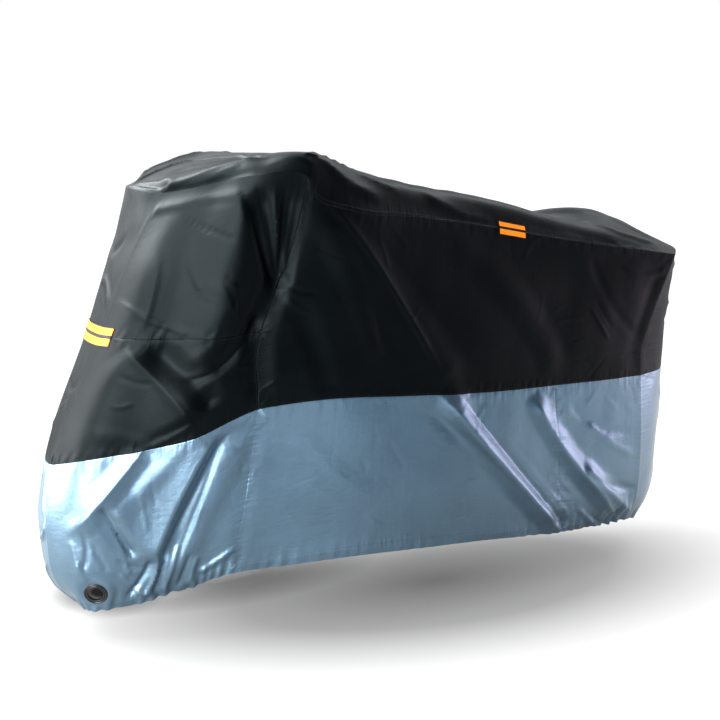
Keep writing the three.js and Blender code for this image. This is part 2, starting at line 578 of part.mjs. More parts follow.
// Reflective tapes sewn on over the seams.
const onNoseTape = ({ patch, s, t }) => {
  if (patch === 'nose') return s > NOSE_TAPE.bottom && s < NOSE_TAPE.top;
  if (patch !== 'left' && patch !== 'right') return false;
  return s < NOSE_TAPE.wrap && t > NOSE_TAPE.bottom && t < NOSE_TAPE.top;
};
const onSideTape = (side) => ({ patch, s, t }) => {
  if (s < SIDE_TAPE.from || s > SIDE_TAPE.to) return false;
  if (patch === 'top') return Math.abs(t) > TOP_HALF - TAPE_MARGIN && (side === 'left') === (t < 0);
  return patch === side && t > LEVEL.seam - TAPE_MARGIN;
};
const raised = TAPE + SEAM_GAP;
addMesh('tape_nose', sheet(cover.faces.filter(onNoseTape), raised, tapeWall), 'tape');
addMesh('tape_left', sheet(cover.faces.filter(onSideTape('left')), raised, tapeWall), 'tape');
addMesh('tape_right', sheet(cover.faces.filter(onSideTape('right')), raised, tapeWall), 'tape');

// The origin is under the top, where the cover is carried.
group.position.set(0, 0, -CARRIER_TOP);
export default group;
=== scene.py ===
import math

import bmesh
import bpy
import numpy as np
from bpy.props import FloatProperty, FloatVectorProperty, PointerProperty
from mathutils import Matrix, Vector


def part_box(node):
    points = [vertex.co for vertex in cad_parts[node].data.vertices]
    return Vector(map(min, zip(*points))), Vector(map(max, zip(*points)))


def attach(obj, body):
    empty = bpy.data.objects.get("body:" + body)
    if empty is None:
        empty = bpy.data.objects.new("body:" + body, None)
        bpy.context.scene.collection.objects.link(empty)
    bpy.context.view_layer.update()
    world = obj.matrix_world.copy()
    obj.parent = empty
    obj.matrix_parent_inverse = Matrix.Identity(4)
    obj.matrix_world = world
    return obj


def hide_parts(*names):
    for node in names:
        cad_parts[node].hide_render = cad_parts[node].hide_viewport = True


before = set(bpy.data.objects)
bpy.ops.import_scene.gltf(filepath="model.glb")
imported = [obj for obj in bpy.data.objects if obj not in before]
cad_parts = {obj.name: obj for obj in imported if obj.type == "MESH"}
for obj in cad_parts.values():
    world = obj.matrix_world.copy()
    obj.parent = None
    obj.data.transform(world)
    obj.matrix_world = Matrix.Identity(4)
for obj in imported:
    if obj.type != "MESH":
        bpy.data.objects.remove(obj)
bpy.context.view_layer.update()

bl_info = {
    "name": "Motorcycle cover",
    "version": (1, 0, 0),
    "blender": (4, 5, 0),
    "location": "3D View > Sidebar > Cover",
    "description": "Builds the fine cloth, eyelets and tapes of a fitted motorcycle cover",
    "category": "Mesh",
}

# Sizes in metres.
MM = 0.001
GROUND = -1.192
CLOTH_WALL = 0.0012
TAPE_WALL = 0.0006
HOLE_RADIUS = 0.0245
FLAT_RADIUS = 0.036
FLAT_EDGE = 0.058
FLAT_DEPTH = 0.08
RIM_REACH = 0.002
# Stitches in metres: pitch, distance from the seam and half width. The gap is a share of the pitch.
STITCH = {"pitch": 0.0042, "beside": 0.0045, "half": 0.0007, "gap": 0.34}
THREADS_PER_METRE = 900
BLACK_THREAD = (0.010, 0.011, 0.012, 1)
SILVER_THREAD = (0.13, 0.225, 0.31, 1)
WELD = 0.00002
# Edges bent more than this stay sharp, on cloth and on the eyelet rings.
CLOTH_ANGLE = math.radians(60)
RING_ANGLE = math.radians(40)
RING_SIDES = 72
# Sizes in millimetres on the part's own grid: girth round the skirt, height up the cloth.
FRONT_CELL = 5.5
CELL = 7.0
TOP_CELL = 9.1
HEM_FOLD = 30
HEM_RISE = 0.9
HEM_EASE = 4
TAPE_MARGIN = 22
TAPE_RISE = 1.6
NOSE_TAPE_WRAP = 45
NOSE_TAPE_HALF = 28
TOP_HALF = 430
LOCK = {"from": 152, "to": 246, "top": 128}
SIDE_TAPE = {"from": 1402, "to": 1508}
# How far from a patch's edge its relief fades in, in millimetres.
FOLD_EASE = 60
WAVE_EASE = 50
CREASE_EASE = 22
TOP_CREASE_EASE = 20
SEAM_EASE = 15
GATHER_EASE = 30
# The elastic hem's gathers: pitch and reach up the cloth, with the longer reach near the tail.
GATHER_PITCH = 34
GATHER_REACH = 92
TAIL_REACH = 60
TAIL_REACH_FROM = 1780
# Added to the distance from a seam where no stitches show beside it, and the distance of no seam.
QUIET = 40
NO_SEAM = 1e3
# Folds: steps along each, shares of its length over which it fades at an end, and a sharp crest.
FOLD_STEPS = 14
FOLD_FADE = 0.18
FOLD_START = 0.15
SHARP_CREST = 1.8
# A seam's dip and its width, the rise and reach beside a border, and the puckers' place and spread.
SEAM_DIP = 0.7
SEAM_WIDTH = 6
BORDER_RISE = 0.9
BORDER_REACH = 30
PUCKER_PITCH = 24
PUCKER_PLACE = 13
PUCKER_SPREAD = 17
# Slow swell of the sides: height, shift of each side, wavelengths along and up with their slants.
SWELL_HEIGHT = 1.5
SWELL_SHIFT = 90
SWELL_ALONG = (410, 190)
SWELL_UP = (330, 260)
# The gathers are looser between these girths.
LOOSE_FROM = 560
LOOSE_TO = 1700
LOOSE_EASE = 300
# An end gusset is this much narrower across than its grid's coordinate says.
END_SHARE = 0.25
END_ALONG = 0.3
TAIL_ALONG = 0.45

LEVEL = {"hem": 0, "cuff": 75, "band": 250, "join": 460, "waist": 830, "shoulder": 1060,
         "brow": 1150, "seam": 1220}

# Half sections round the skirt: girth u, then x, half width y and height z at each level.
SECTIONS = {
    "noseSeam": (60, (-972, 45, 85), (-1024, 50, 135), (-1060, 55, 290), (-1034, 55, 485),
                 (-900, 85, 826), (-822, 110, 1035), (-782, 132, 1125), (-742, 150, 1200)),
    "frontFold": (150, (-968, 104, 84), (-990, 118, 140), (-1003, 135, 290), (-982, 140, 508),
                  (-862, 162, 828), (-790, 184, 1035), (-742, 195, 1128), (-690, 207, 1212)),
    "lockSide": (310, (-838, 150, 99), (-846, 165, 158), (-850, 195, 312), (-840, 215, 538),
                 (-760, 237, 830), (-700, 255, 1040), (-662, 262, 1140), (-625, 271, 1230)),
    "fork": (450, (-715, 168, 128), (-725, 190, 188), (-715, 230, 342), (-722, 284, 572),
             (-650, 306, 836), (-606, 330, 1050), (-585, 340, 1150), (-560, 350, 1248)),
    "barSeam": (630, (-598, 228, 172), (-592, 243, 240), (-570, 272, 395), (-548, 310, 640),
                (-535, 318, 844), (-460, 341, 1060), (-446, 367, 1150), (-436, 396, 1243)),
    "barBack": (705, (-522, 252, 182), (-520, 260, 250), (-503, 285, 405), (-486, 318, 648),
                (-474, 326, 846), (-428, 350, 1040), (-414, 372, 1118), (-404, 390, 1192)),
    "knee": (820, (-395, 285, 193), (-395, 290, 265), (-385, 305, 420), (-368, 330, 655),
             (-345, 340, 840), (-322, 358, 1010), (-312, 370, 1082), (-300, 380, 1160)),
    "seatFront": (1080, (-130, 300, 192), (-130, 302, 265), (-125, 310, 420), (-120, 322, 642),
                  (-115, 330, 830), (-110, 335, 1000), (-108, 335, 1068), (-105, 335, 1138)),
    "seatRear": (1380, (175, 280, 174), (175, 283, 245), (178, 290, 400), (180, 295, 623),
                 (180, 296, 800), (182, 286, 965), (184, 278, 1032), (185, 270, 1097)),
    "rearJoin": (1660, (474, 225, 142), (468, 235, 210), (440, 248, 380), (415, 257, 616),
                 (425, 255, 780), (440, 246, 925), (446, 240, 989), (450, 235, 1052)),
    "rack": (1850, (650, 165, 120), (655, 185, 180), (645, 215, 360), (625, 226, 610),
             (640, 225, 760), (668, 218, 900), (680, 213, 958), (690, 208, 1016)),
    "tailSeam": (2020, (815, 115, 108), (822, 140, 168), (808, 178, 350), (788, 190, 606),
                 (800, 190, 735), (855, 187, 868), (885, 184, 928), (912, 180, 984)),
}
# Centre line of the nose and of the tail, from the hem to the brow.
NOSE_LINE = ((-984, 83), (-1032, 135), (-1066, 290), (-1042, 482), (-908, 826), (-840, 1035),
             (-812, 1125))
TAIL_LINE = ((898, 92), (945, 155), (962, 350), (974, 605), (980, 735), (986, 870), (987, 935))
# Taut edge, inner point and ridge of the top gusset at each section.
TOP_SECTIONS = {
    "noseSeam": ((-768, 112, 1208), (-784, 58, 1214), (-791, 0, 1216)),
    "frontFold": ((-698, 178, 1234), (-708, 90, 1243), (-712, 0, 1246)),
    "lockSide": ((-628, 250, 1255), (-636, 125, 1267), (-640, 0, 1270)),
    "fork": ((-548, 328, 1277), (-548, 165, 1288), (-548, 0, 1290)),
    "barSeam": ((-440, 388, 1297), (-440, 190, 1301), (-440, 0, 1301)),
    "barBack": ((-390, 378, 1286), (-390, 188, 1289), (-390, 0, 1289)),
    "knee": ((-300, 345, 1256), (-300, 175, 1257), (-300, 0, 1257)),
    "seatFront": ((-105, 300, 1212), (-105, 150, 1214), (-105, 0, 1214)),
    "seatRear": ((185, 243, 1164), (185, 125, 1171), (185, 0, 1171)),
    "rearJoin": ((450, 205, 1103), (455, 105, 1116), (458, 0, 1119)),
    "rack": ((692, 185, 1048), (700, 100, 1100), (706, 0, 1122)),
    "tailSeam": ((945, 140, 995), (972, 74, 1006), (980, 0, 1010)),
}
ACROSS = (-430, -340, -190, 0, 190, 340, 430)

# Folds along a line in x and z: height (a trough under 0), widths fore and aft, and how soft.
LEFT_MAIN = (
    ((-425, 1215), (-140, 885), (60, 650), 10, 90, 75, 1),
    ((-596, 1235), (-596, 1083), (-603, 925), 8, 140, 40, 1),
    ((-600, 925), (-659, 853), (-740, 613), 11, 90, 50, 1),
    ((-556, 1215), (-530, 1082), (-485, 945), -20, 40, 40, 1),
    ((-480, 1210), (-474, 1080), (-485, 950), -11, 36, 36, 1),
    ((-485, 975), (-546, 851), (-545, 650), -13, 48, 62, 1),
    ((-536, 898), (-610, 805), (-740, 723), -9, 42, 40, 1),
    ((-862, 806), (-780, 712), (-716, 618), 14, 190, 56, 0.7),
    ((-812, 806), (-722, 728), (-672, 650), -13, 46, 60, 0.9),
    ((-835, 540), (-895, 455), (-1012, 298), 11, 46, 40, 1),
    ((-772, 515), (-858, 417), (-906, 350), 4, 50, 50, 1),
    ((-937, 392), (-905, 319), (-850, 235), -8, 34, 34, 1),
    ((-665, 590), (-748, 395), (-815, 215), 12, 85, 26, 0.15),
    ((-632, 586), (-712, 400), (-768, 215), -10, 34, 36, 1),
    ((-585, 580), (-655, 395), (-748, 160), 4, 40, 48, 1),
    ((-550, 619), (-570, 400), (-595, 175), -4, 34, 34, 1),
    ((-7, 650), (208, 398), (468, 150), 25, 48, 84, 1),
    ((54, 640), (296, 364), (505, 145), -9, 38, 36, 1),
    ((325, 600), (470, 396), (731, 140), 15, 44, 62, 1),
    ((533, 360), (674, 241), (830, 120), 13, 46, 50, 1),
    ((875, 950), (805, 842), (765, 715), -3, 44, 40, 1),
)
LEFT_CREASES = (
    ((-592, 1222), (-547, 1090), (-490, 958), -7, 11, 12, 0.1),
    ((-568, 1222), (-529, 1090), (-487, 956), 5, 10, 11, 0.1),
    ((-542, 1222), (-513, 1088), (-485, 954), -5, 9, 11, 0.1),
    ((-516, 1222), (-500, 1086), (-484, 956), 4, 9, 10, 0.1),
    ((-490, 1222), (-487, 1086), (-483, 958), -5, 9, 10, 0.1),
    ((-462, 1218), (-470, 1084), (-482, 958), 3, 10, 10, 0.1),
    ((-478, 940), (-440, 905), (-405, 890), 3, 8, 9, 0),
    ((-470, 965), (-430, 948), (-392, 945), -3, 8, 8, 0),
    ((-825, 548), (-889, 462), (-1025, 298), 5, 20, 13, 0.1),
    ((-940, 396), (-905, 319), (-856, 240), -8, 8, 16, 0),
    ((-937, 380), (-890, 270), (-866, 186), 5, 14, 9, 0),
    ((-742, 560), (-800, 470), (-850, 405), 3, 34, 30, 0.8),
    ((-985, 330), (-975, 270), (-985, 210), -5, 12, 12, 0.2),
    ((-1012, 300), (-1000, 240), (-990, 190), 4, 14, 10, 0.2),
    ((-890, 200), (-870, 170), (-850, 160), 6, 10, 10, 0.1),
    ((-900, 235), (-862, 215), (-830, 205), -5, 12, 10, 0.1),
    ((-654, 588), (-727, 397), (-806, 222), 8, 62, 12, 0.15),
    ((-618, 590), (-678, 480), (-764, 268), -5, 10, 16, 0.1),
    ((-640, 560), (-676, 440), (-753, 188), -4, 12, 9, 0.1),
    ((-580, 575), (-655, 395), (-751, 162), 1.5, 34, 34, 1),
    ((-966, 290), (-938, 237), (-925, 205), -4, 14, 12, 0.2),
    ((-1001, 240), (-977, 171), (-955, 110), 4, 12, 14, 0.3),
    ((-813, 232), (-836, 174), (-872, 120), -12, 13, 18, 0.1),
    ((-795, 250), (-800, 184), (-826, 118), 10, 14, 13, 0.1),
    ((-773, 262), (-784, 184), (-802, 118), -9, 12, 13, 0.2),
    ((-740, 270), (-758, 190), (-775, 125), 6, 12, 13, 0.2),
    ((-710, 245), (-725, 181), (-740, 132), -6, 12, 14, 0.2),
    ((-690, 235), (-700, 185), (-708, 140), 5, 12, 12, 0.2),
    ((-850, 150), (-832, 128), (-800, 130), 6, 10, 12, 0.1),
    ((-594, 252), (-640, 215), (-686, 178), 6, 12, 18, 0.2),
    ((-640, 560), (-602, 521), (-575, 469), -3, 9, 12, 0.2),
    ((-440, 575), (-349, 453), (-194, 347), 3, 60, 60, 1),
    ((-810, 1142), (-678, 1181), (-552, 1208), 5, 18, 22, 0.3),
    ((-862, 923), (-798, 878), (-705, 846), 4, 18, 16, 0.3),
    ((-769, 1053), (-797, 925), (-823, 847), 3, 20, 16, 0.5),
    ((-714, 1145), (-660, 1112), (-603, 1085), -4, 8, 8, 0),
    ((-713, 1041), (-700, 1000), (-685, 955), 3, 9, 9, 0),
    ((-630, 999), (-613, 987), (-596, 975), -3, 8, 8, 0),
    ((-536, 898), (-625, 775), (-745, 722), -6, 14, 20, 0.1),
    ((-500, 716), (-520, 702), (-546, 682), 3, 9, 9, 0.1),
    ((-404, 1069), (-365, 1050), (-324, 1032), -3, 9, 9, 0),
    ((-862, 806), (-780, 712), (-716, 618), 4, 26, 12, 0.1),
    ((-714, 622), (-755, 590), (-830, 545), 5, 12, 20, 0.1),
    ((-880, 735), (-838, 718), (-800, 716), -2, 12, 14, 0.2),
    ((-962, 583), (-879, 576), (-811, 548), 3, 40, 30, 0.8),
    ((-905, 660), (-880, 655), (-850, 665), 2, 10, 10, 0.2),
    ((-400, 1143), (-278, 917), (-209, 748), 5, 46, 40, 1),
    ((-449, 926), (-389, 790), (-357, 665), -6, 50, 50, 1),
    ((-13, 1090), (269, 879), (429, 627), 5, 70, 70, 1),
    ((-425, 1222), (-240, 1030), (-7, 690), 7, 14, 22, 0.1),
    ((551, 1009), (632, 853), (767, 733), -1.5, 26, 26, 0.8),
    ((679, 966), (785, 921), (884, 950), 2, 20, 20, 0.5),
    ((551, 842), (590, 790), (630, 734), 3, 8, 10, 0),
    ((575, 860), (610, 812), (642, 770), -2, 8, 8, 0),
    ((-15, 640), (205, 398), (465, 150), 7, 13, 34, 0.1),
    ((54, 635), (296, 364), (505, 142), -6, 16, 13, 0.1),
    ((-90, 628), (150, 440), (378, 222), -5, 46, 14, 0.3),
    ((328, 588), (481, 383), (735, 140), 5, 15, 26, 0.1),
    ((533, 358), (618, 285), (835, 215), -5, 18, 24, 0.2),
    ((540, 352), (674, 241), (848, 108), 5, 18, 26, 0.2),
    ((558, 488), (644, 414), (785, 340), 4, 22, 26, 0.4),
    ((475, 560), (596, 469), (770, 425), -4, 24, 24, 0.4),
    ((651, 205), (723, 148), (760, 102), 5, 13, 16, 0.2),
    ((541, 208), (615, 144), (675, 100), 5, 14, 16, 0.2),
    ((600, 175), (660, 135), (700, 104), -4, 12, 12, 0.2),
)
RIGHT_MAIN = (
    ((-430, 1215), (-230, 930), (-40, 660), 8, 50, 60, 1),
    ((-600, 1205), (-585, 1060), (-610, 900), 11, 90, 50, 1),
    ((-520, 1200), (-500, 1060), (-500, 930), -10, 40, 44, 1),
    ((-495, 960), (-560, 820), (-560, 640), -11, 52, 60, 1),
    ((-850, 780), (-780, 690), (-700, 590), 12, 56, 44, 1),
    ((-790, 540), (-880, 430), (-985, 290), 12, 46, 44, 1),
    ((-650, 590), (-720, 410), (-800, 200), 17, 52, 44, 1),
    ((-600, 590), (-680, 400), (-740, 190), -9, 36, 38, 1),
    ((-60, 645), (120, 430), (330, 170), 20, 44, 70, 1),
    ((10, 640), (200, 420), (410, 160), -9, 40, 36, 1),
    ((260, 610), (430, 420), (640, 150), 14, 50, 56, 1),
    ((560, 590), (680, 400), (800, 170), 9, 44, 44, 1),
    ((870, 945), (800, 830), (755, 700), -8, 42, 42, 1),
)
RIGHT_CREASES = (
    ((-430, 1210), (-230, 930), (-40, 660), 4, 16, 20, 0.1),
    ((-850, 780), (-780, 690), (-700, 590), 5, 20, 14, 0.2),
    ((-790, 540), (-880, 430), (-985, 290), 5, 16, 14, 0.1),
    ((-650, 590), (-720, 410), (-800, 200), 6, 24, 13, 0.1),
    ((-610, 590), (-690, 400), (-750, 190), -5, 12, 14, 0.1),
    ((-560, 560), (-610, 400), (-690, 170), 4, 20, 20, 0.5),
    ((-870, 300), (-840, 220), (-835, 130), 5, 14, 16, 0.2),
    ((-800, 240), (-780, 180), (-790, 120), -5, 13, 13, 0.3),
    ((-60, 645), (120, 430), (330, 170), 6, 14, 30, 0.1),
    ((10, 640), (200, 420), (410, 160), -5, 16, 14, 0.1),
    ((260, 610), (430, 420), (640, 150), 5, 16, 24, 0.1),
    ((560, 590), (680, 400), (800, 170), 4, 18, 18, 0.3),
    ((-700, 1100), (-640, 1040), (-600, 1010), -3, 9, 9, 0),
    ((-380, 1100), (-300, 930), (-250, 760), 5, 45, 45, 1),
    ((60, 1080), (300, 880), (470, 640), 5, 70, 60, 1),
    ((560, 970), (650, 850), (760, 740), -3, 24, 24, 0.4),
    ((640, 190), (700, 140), (740, 100), 5, 13, 15, 0.2),
    ((540, 220), (600, 150), (640, 112), 5, 14, 16, 0.2),
)
# Folds of the top gusset along a line in x and y.
TOP_MAIN = (
    ((-750, -130), (-660, -222), (-515, -338), 8, 40, 46, 1),
    ((-745, -20), (-630, -120), (-500, -210), 4, 44, 50, 1),
    ((-735, 100), (-610, 220), (-490, 335), 8, 50, 46, 1),
    ((-700, -70), (-580, -190), (-450, -250), -5, 40, 40, 1),
    ((-420, -290), (-250, -215), (-60, -190), 6, 45, 45, 1),
    ((-420, 250), (-260, 205), (-40, 120), 7, 50, 45, 1),
    ((-390, -60), (-180, -20), (60, 30), -6, 70, 70, 1),
    ((330, -120), (480, -60), (620, -90), -5, 50, 50, 1),
    ((500, 120), (640, 60), (780, 80), -5, 45, 45, 1),
)
TOP_CREASES = (
    ((-752, -132), (-660, -222), (-512, -338), 7, 10, 18, 0.05),
    ((-740, -100), (-640, -200), (-500, -305), -5, 12, 14, 0.1),
    ((-785, -8), (-672, 62), (-590, 38), 7, 12, 20, 0.05),
    ((-600, 44), (-552, -100), (-508, -325), 7, 12, 20, 0.05),
    ((-784, -20), (-750, -100), (-705, -180), 6, 9, 14, 0.05),
    ((-782, -45), (-752, -125), (-718, -165), -5, 8, 9, 0.1),
    ((-700, -195), (-640, -250), (-575, -305), 4, 9, 10, 0.1),
    ((-640, -60), (-605, -95), (-575, -150), -4, 9, 10, 0.1),
    ((-740, 100), (-620, 220), (-470, 330), 8, 14, 16, 0.1),
    ((-735, 122), (-600, 262), (-448, 382), 8, 14, 18, 0.1),
    ((-738, 110), (-610, 240), (-450, 360), -7, 10, 12, 0.1),
    ((-700, 190), (-585, 310), (-446, 393), 7, 8, 9, 0.1),
    ((-446, -386), (-364, -374), (-200, -345), 7, 8, 12, 0.05),
    ((-420, -330), (-290, -330), (-140, -318), 5, 10, 13, 0.1),
    ((-60, -300), (60, -288), (190, -268), 5, 12, 14, 0.1),
    ((-430, 330), (-290, 336), (-120, 318), 5, 12, 16, 0.1),
    ((-60, 300), (80, 285), (210, 262), 4, 12, 14, 0.1),
    ((-430, -200), (-280, -150), (-80, -140), 4, 20, 20, 0.4),
    ((-420, 140), (-250, 110), (-60, 60), 4, 22, 20, 0.4),
    ((540, -150), (680, -170), (860, -150), 5, 16, 18, 0.3),
    ((600, -60), (740, -100), (900, -110), 4, 18, 18, 0.4),
    ((560, 130), (700, 160), (880, 140), 5, 16, 18, 0.3),
)
# Folds of the end gussets along a line in y and z.
NOSE_CREASES = (
    ((10, 272), (-30, 286), (-58, 332), 6, 16, 12, 0.2),
    ((-40, 520), (-30, 420), (-36, 340), 3, 16, 16, 0.5),
    ((40, 560), (10, 620), (-30, 640), 4, 16, 20, 0.4),
    ((-50, 700), (0, 680), (55, 700), -4, 18, 18, 0.4),
    ((-70, 900), (-10, 960), (60, 950), 5, 20, 20, 0.4),
    ((60, 1080), (10, 1040), (-60, 1090), -4, 20, 20, 0.4),
    ((-30, 210), (0, 150), (-10, 95), 5, 14, 14, 0.3),
    ((25, 220), (30, 150), (20, 95), -4, 12, 14, 0.3),
)
TAIL_CREASES = (
    ((-150, 960), (-60, 930), (60, 945), 5, 18, 18, 0.4),
    ((-120, 890), (-20, 870), (110, 900), -4, 20, 18, 0.4),
    ((-140, 830), (0, 810), (140, 840), 4, 20, 20, 0.4),
    ((-130, 760), (-10, 770), (120, 740), -4, 20, 20, 0.4),
    ((-120, 560), (-60, 400), (-70, 200), 5, 26, 26, 0.4),
    ((110, 540), (70, 380), (60, 190), 5, 26, 26, 0.4),
    ((0, 500), (10, 340), (-10, 150), -5, 30, 30, 0.5),
)
# Where short fine creases are scattered: low and high x, low and high height over the ground.
SILVER_AREA = (-900, 860, 140, 600)
BLACK_AREA = (-820, 860, 640, 1120)
SHORT_WIDTHS = (8, 10)


class CoverSettings(bpy.types.PropertyGroup):
    """Sizes and colours of the cover's cloth"""

    black: FloatVectorProperty(name="Black cloth", description="Colour of the upper cloth",
                               subtype="COLOR", size=3, min=0, max=1,
                               default=(0.0004, 0.0009, 0.0011))
    silver: FloatVectorProperty(name="Silver cloth", description="Colour of the lower band",
                                subtype="COLOR", size=3, min=0, max=1,
                                default=(0.155, 0.27, 0.37))
    tape: FloatVectorProperty(name="Tape", description="Colour of the reflective tapes",
                              subtype="COLOR", size=3, min=0, max=1, default=(1.0, 0.27, 0.015))
    gather_depth: FloatProperty(name="Gather depth", subtype="DISTANCE", unit="LENGTH",
                                description="Depth of the elastic hem's gathers",
                                default=0.0042, min=0, max=0.01)
    pucker_depth: FloatProperty(name="Pucker depth", subtype="DISTANCE", unit="LENGTH",
                                description="Depth of the puckers beside the seams",
                                default=0.0008, min=0, max=0.005)


def settings():
    return bpy.context.scene.cover


def smooth(t):
    c = np.clip(t, 0, 1)
    return c * c * (3 - 2 * c)


def cubic_rows(knots, places):
    """Weights of the knots at each place, on the smooth cubic that the part's surface uses."""
    knots = np.asarray(knots, float)
    last = len(knots) - 1
    rows = np.zeros((len(places), len(knots)))
    for row, t in zip(rows, places):
        i = int(np.clip(np.searchsorted(knots, t, side="right") - 1, 0, last - 1))
        step = knots[i + 1] - knots[i]
        s = (t - knots[i]) / step
        start = 2 * s ** 3 - 3 * s ** 2 + 1
        row[i] += start
        row[i + 1] += 1 - start
        for at, factor in ((i, s ** 3 - 2 * s ** 2 + s), (i + 1, s ** 3 - s ** 2)):
            if at in (0, last):
                inner = 1 if at == 0 else last - 1
                slope = factor * step / (knots[inner] - knots[at])
                row[inner] += slope
                row[at] -= slope
                continue
            before = knots[at] - knots[at - 1]
            after = knots[at + 1] - knots[at]
            a = factor * step * after / (before + after) / before
            b = factor * step * before / (before + after) / after
            row[at - 1] -= a
            row[at] += a - b
            row[at + 1] += b
    return rows


def fold_height(folds, p, q):
    """Height of a table of folds at points of their plane."""
    total = np.zeros_like(p)
    for a, b, c, height, fore, aft, soft in folds:
        reach = max(fore, aft)
        ends = np.array([a, b, c], float)
        low = ends.min(0) - reach
        high = ends.max(0) + reach
        near = (p > low[0]) & (p < high[0]) & (q > low[1]) & (q < high[1])
        if not near.any():
            continue
        x, y = p[near], q[near]
        best = np.full(x.shape, np.inf)
        left = np.zeros(x.shape, bool)
        along = np.zeros(x.shape)
        t = np.linspace(0, 1, FOLD_STEPS + 1)[:, None]
        curve = (2 * (t - 0.5) * (t - 1) * ends[0] + 4 * t * (1 - t) * ends[1]
                 + 2 * t * (t - 0.5) * ends[2])
        for k in range(FOLD_STEPS):
            d = curve[k + 1] - curve[k]
            length = math.hypot(*d)
            ax, ay = x - curve[k][0], y - curve[k][1]
            held = np.clip((ax * d[0] + ay * d[1]) / length, 0, length)
            ox = ax - d[0] * held / length
            oy = ay - d[1] * held / length
            distance = np.hypot(ox, oy)
            closer = distance < best
            best = np.where(closer, distance, best)
            left = np.where(closer, d[0] * oy - d[1] * ox > 0, left)
            along = np.where(closer, (k + held / length) / FOLD_STEPS, along)
        across = np.clip(best / np.where(left, aft, fore), 0, 1)
        crest = soft * (1 - smooth(across)) + (1 - soft) * (1 - across) ** SHARP_CREST
        fade = (smooth(along / FOLD_FADE + FOLD_START)
                * smooth((1 - along) / FOLD_FADE + FOLD_START))
        total[near] += height * fade * crest
    return total


def short_creases(seed, area, count, height):
    """A table of short fine creases over an area given as (low x, high x, low z, high z)."""
    rng = np.random.default_rng(seed)
    rows = []
    for _ in range(count):
        x, z = rng.uniform(area[0], area[1]), rng.uniform(area[2], area[3])
        lean = (-math.pi / 4, 0.6) if rng.random() < 0.7 else (math.pi / 3, 0.4)
        angle = rng.normal(*lean)
        half = rng.uniform(18, 60)
        bow = rng.uniform(-0.12, 0.12) * half
        dx, dz = half * math.cos(angle), half * math.sin(angle)
        rise = height * rng.uniform(0.5, 1) * rng.choice((-1, 1))
        rows.append(((x - dx, z - dz), (x - bow * math.sin(angle), z + bow * math.cos(angle)),
                     (x + dx, z + dz), rise, *SHORT_WIDTHS, 0))
    return rows


def sided(point, side):
    return (point[0], point[1] * side, point[2])


def top_row(name):
    edge, inner, ridge = TOP_SECTIONS[name]
    seam = SECTIONS[name][-1]
    return [sided(seam, -1), sided(edge, -1), sided(inner, -1), ridge,
            sided(inner, 1), sided(edge, 1), sided(seam, 1)]


def end_net(name, line, bulge):
    """Control rows of an end gusset, from seam to seam through its centre line."""
    rows = []
    for (sx, sy, sz), (cx, cz) in zip(SECTIONS[name][1:-1], line):
        share = np.array(ACROSS) / TOP_HALF
        pull = np.abs(share) ** bulge
        rows.append(list(zip(cx + (sx - cx) * pull, sy * share, cz + (sz - cz) * pull)))
    rows.append(top_row(name))
    return rows


GIRTH = [section[0] for section in SECTIONS.values()]
HEIGHTS = list(LEVEL.values())
PATCHES = {
    "left": ([[sided(p, -1) for p in s[1:]] for s in SECTIONS.values()], GIRTH, HEIGHTS, 1),
    "right": ([[sided(p, 1) for p in s[1:]] for s in SECTIONS.values()], GIRTH, HEIGHTS, -1),
    "nose": (end_net("noseSeam", NOSE_LINE, 2), HEIGHTS, ACROSS, 1),
    "tail": (end_net("tailSeam", TAIL_LINE, 2.6), HEIGHTS, ACROSS, -1),
    "top": ([top_row(name) for name in SECTIONS], GIRTH, ACROSS, 1),
}


def lines(breaks, cell, fine_until=-math.inf):
    out = [breaks[0]]
    for low, high in zip(breaks, breaks[1:]):
        steps = max(1, round((high - low) / (FRONT_CELL if high <= fine_until else cell)))
        out += [low + (high - low) * k / steps for k in range(1, steps + 1)]
    return np.array(out)


NOSE_TAPE = {"bottom": LEVEL["waist"] - NOSE_TAPE_HALF, "top": LEVEL["waist"] + NOSE_TAPE_HALF,
             "wrap": GIRTH[0] + NOSE_TAPE_WRAP}
BAR_SEAM = SECTIONS["barSeam"][0]
REAR_JOIN = SECTIONS["rearJoin"][0]
TAIL_SEAM = SECTIONS["tailSeam"][0]
U_BREAKS = [GIRTH[0], NOSE_TAPE["wrap"], LOCK["from"], LOCK["to"], BAR_SEAM, SIDE_TAPE["from"],
            SIDE_TAPE["to"], REAR_JOIN, TAIL_SEAM]
V_BREAKS = [0, HEM_FOLD, LOCK["top"], LEVEL["join"], NOSE_TAPE["bottom"], LEVEL["waist"],
            NOSE_TAPE["top"], LEVEL["seam"] - TAPE_MARGIN, LEVEL["seam"]]
W_BREAKS = [-TOP_HALF, -TOP_HALF + TAPE_MARGIN, TOP_HALF - TAPE_MARGIN, TOP_HALF]
U_LINES = lines(U_BREAKS, CELL, BAR_SEAM)
V_LINES = lines(V_BREAKS, CELL)
W_LINES = lines(W_BREAKS, TOP_CELL)


def waves(x, y, seed, scale):
    """Slow uneven waves from a few fixed sines, between about -1 and 1."""
    rng = np.random.default_rng(seed)
    total = np.zeros_like(x)
    for _ in range(7):
        angle = rng.uniform(0, math.pi)
        pitch = scale * rng.uniform(0.6, 1.7)
        phase = rng.uniform(0, 2 * math.pi)
        total += np.sin((x * math.cos(angle) + y * math.sin(angle)) / pitch * 2 * math.pi + phase)
    return total / 3.2


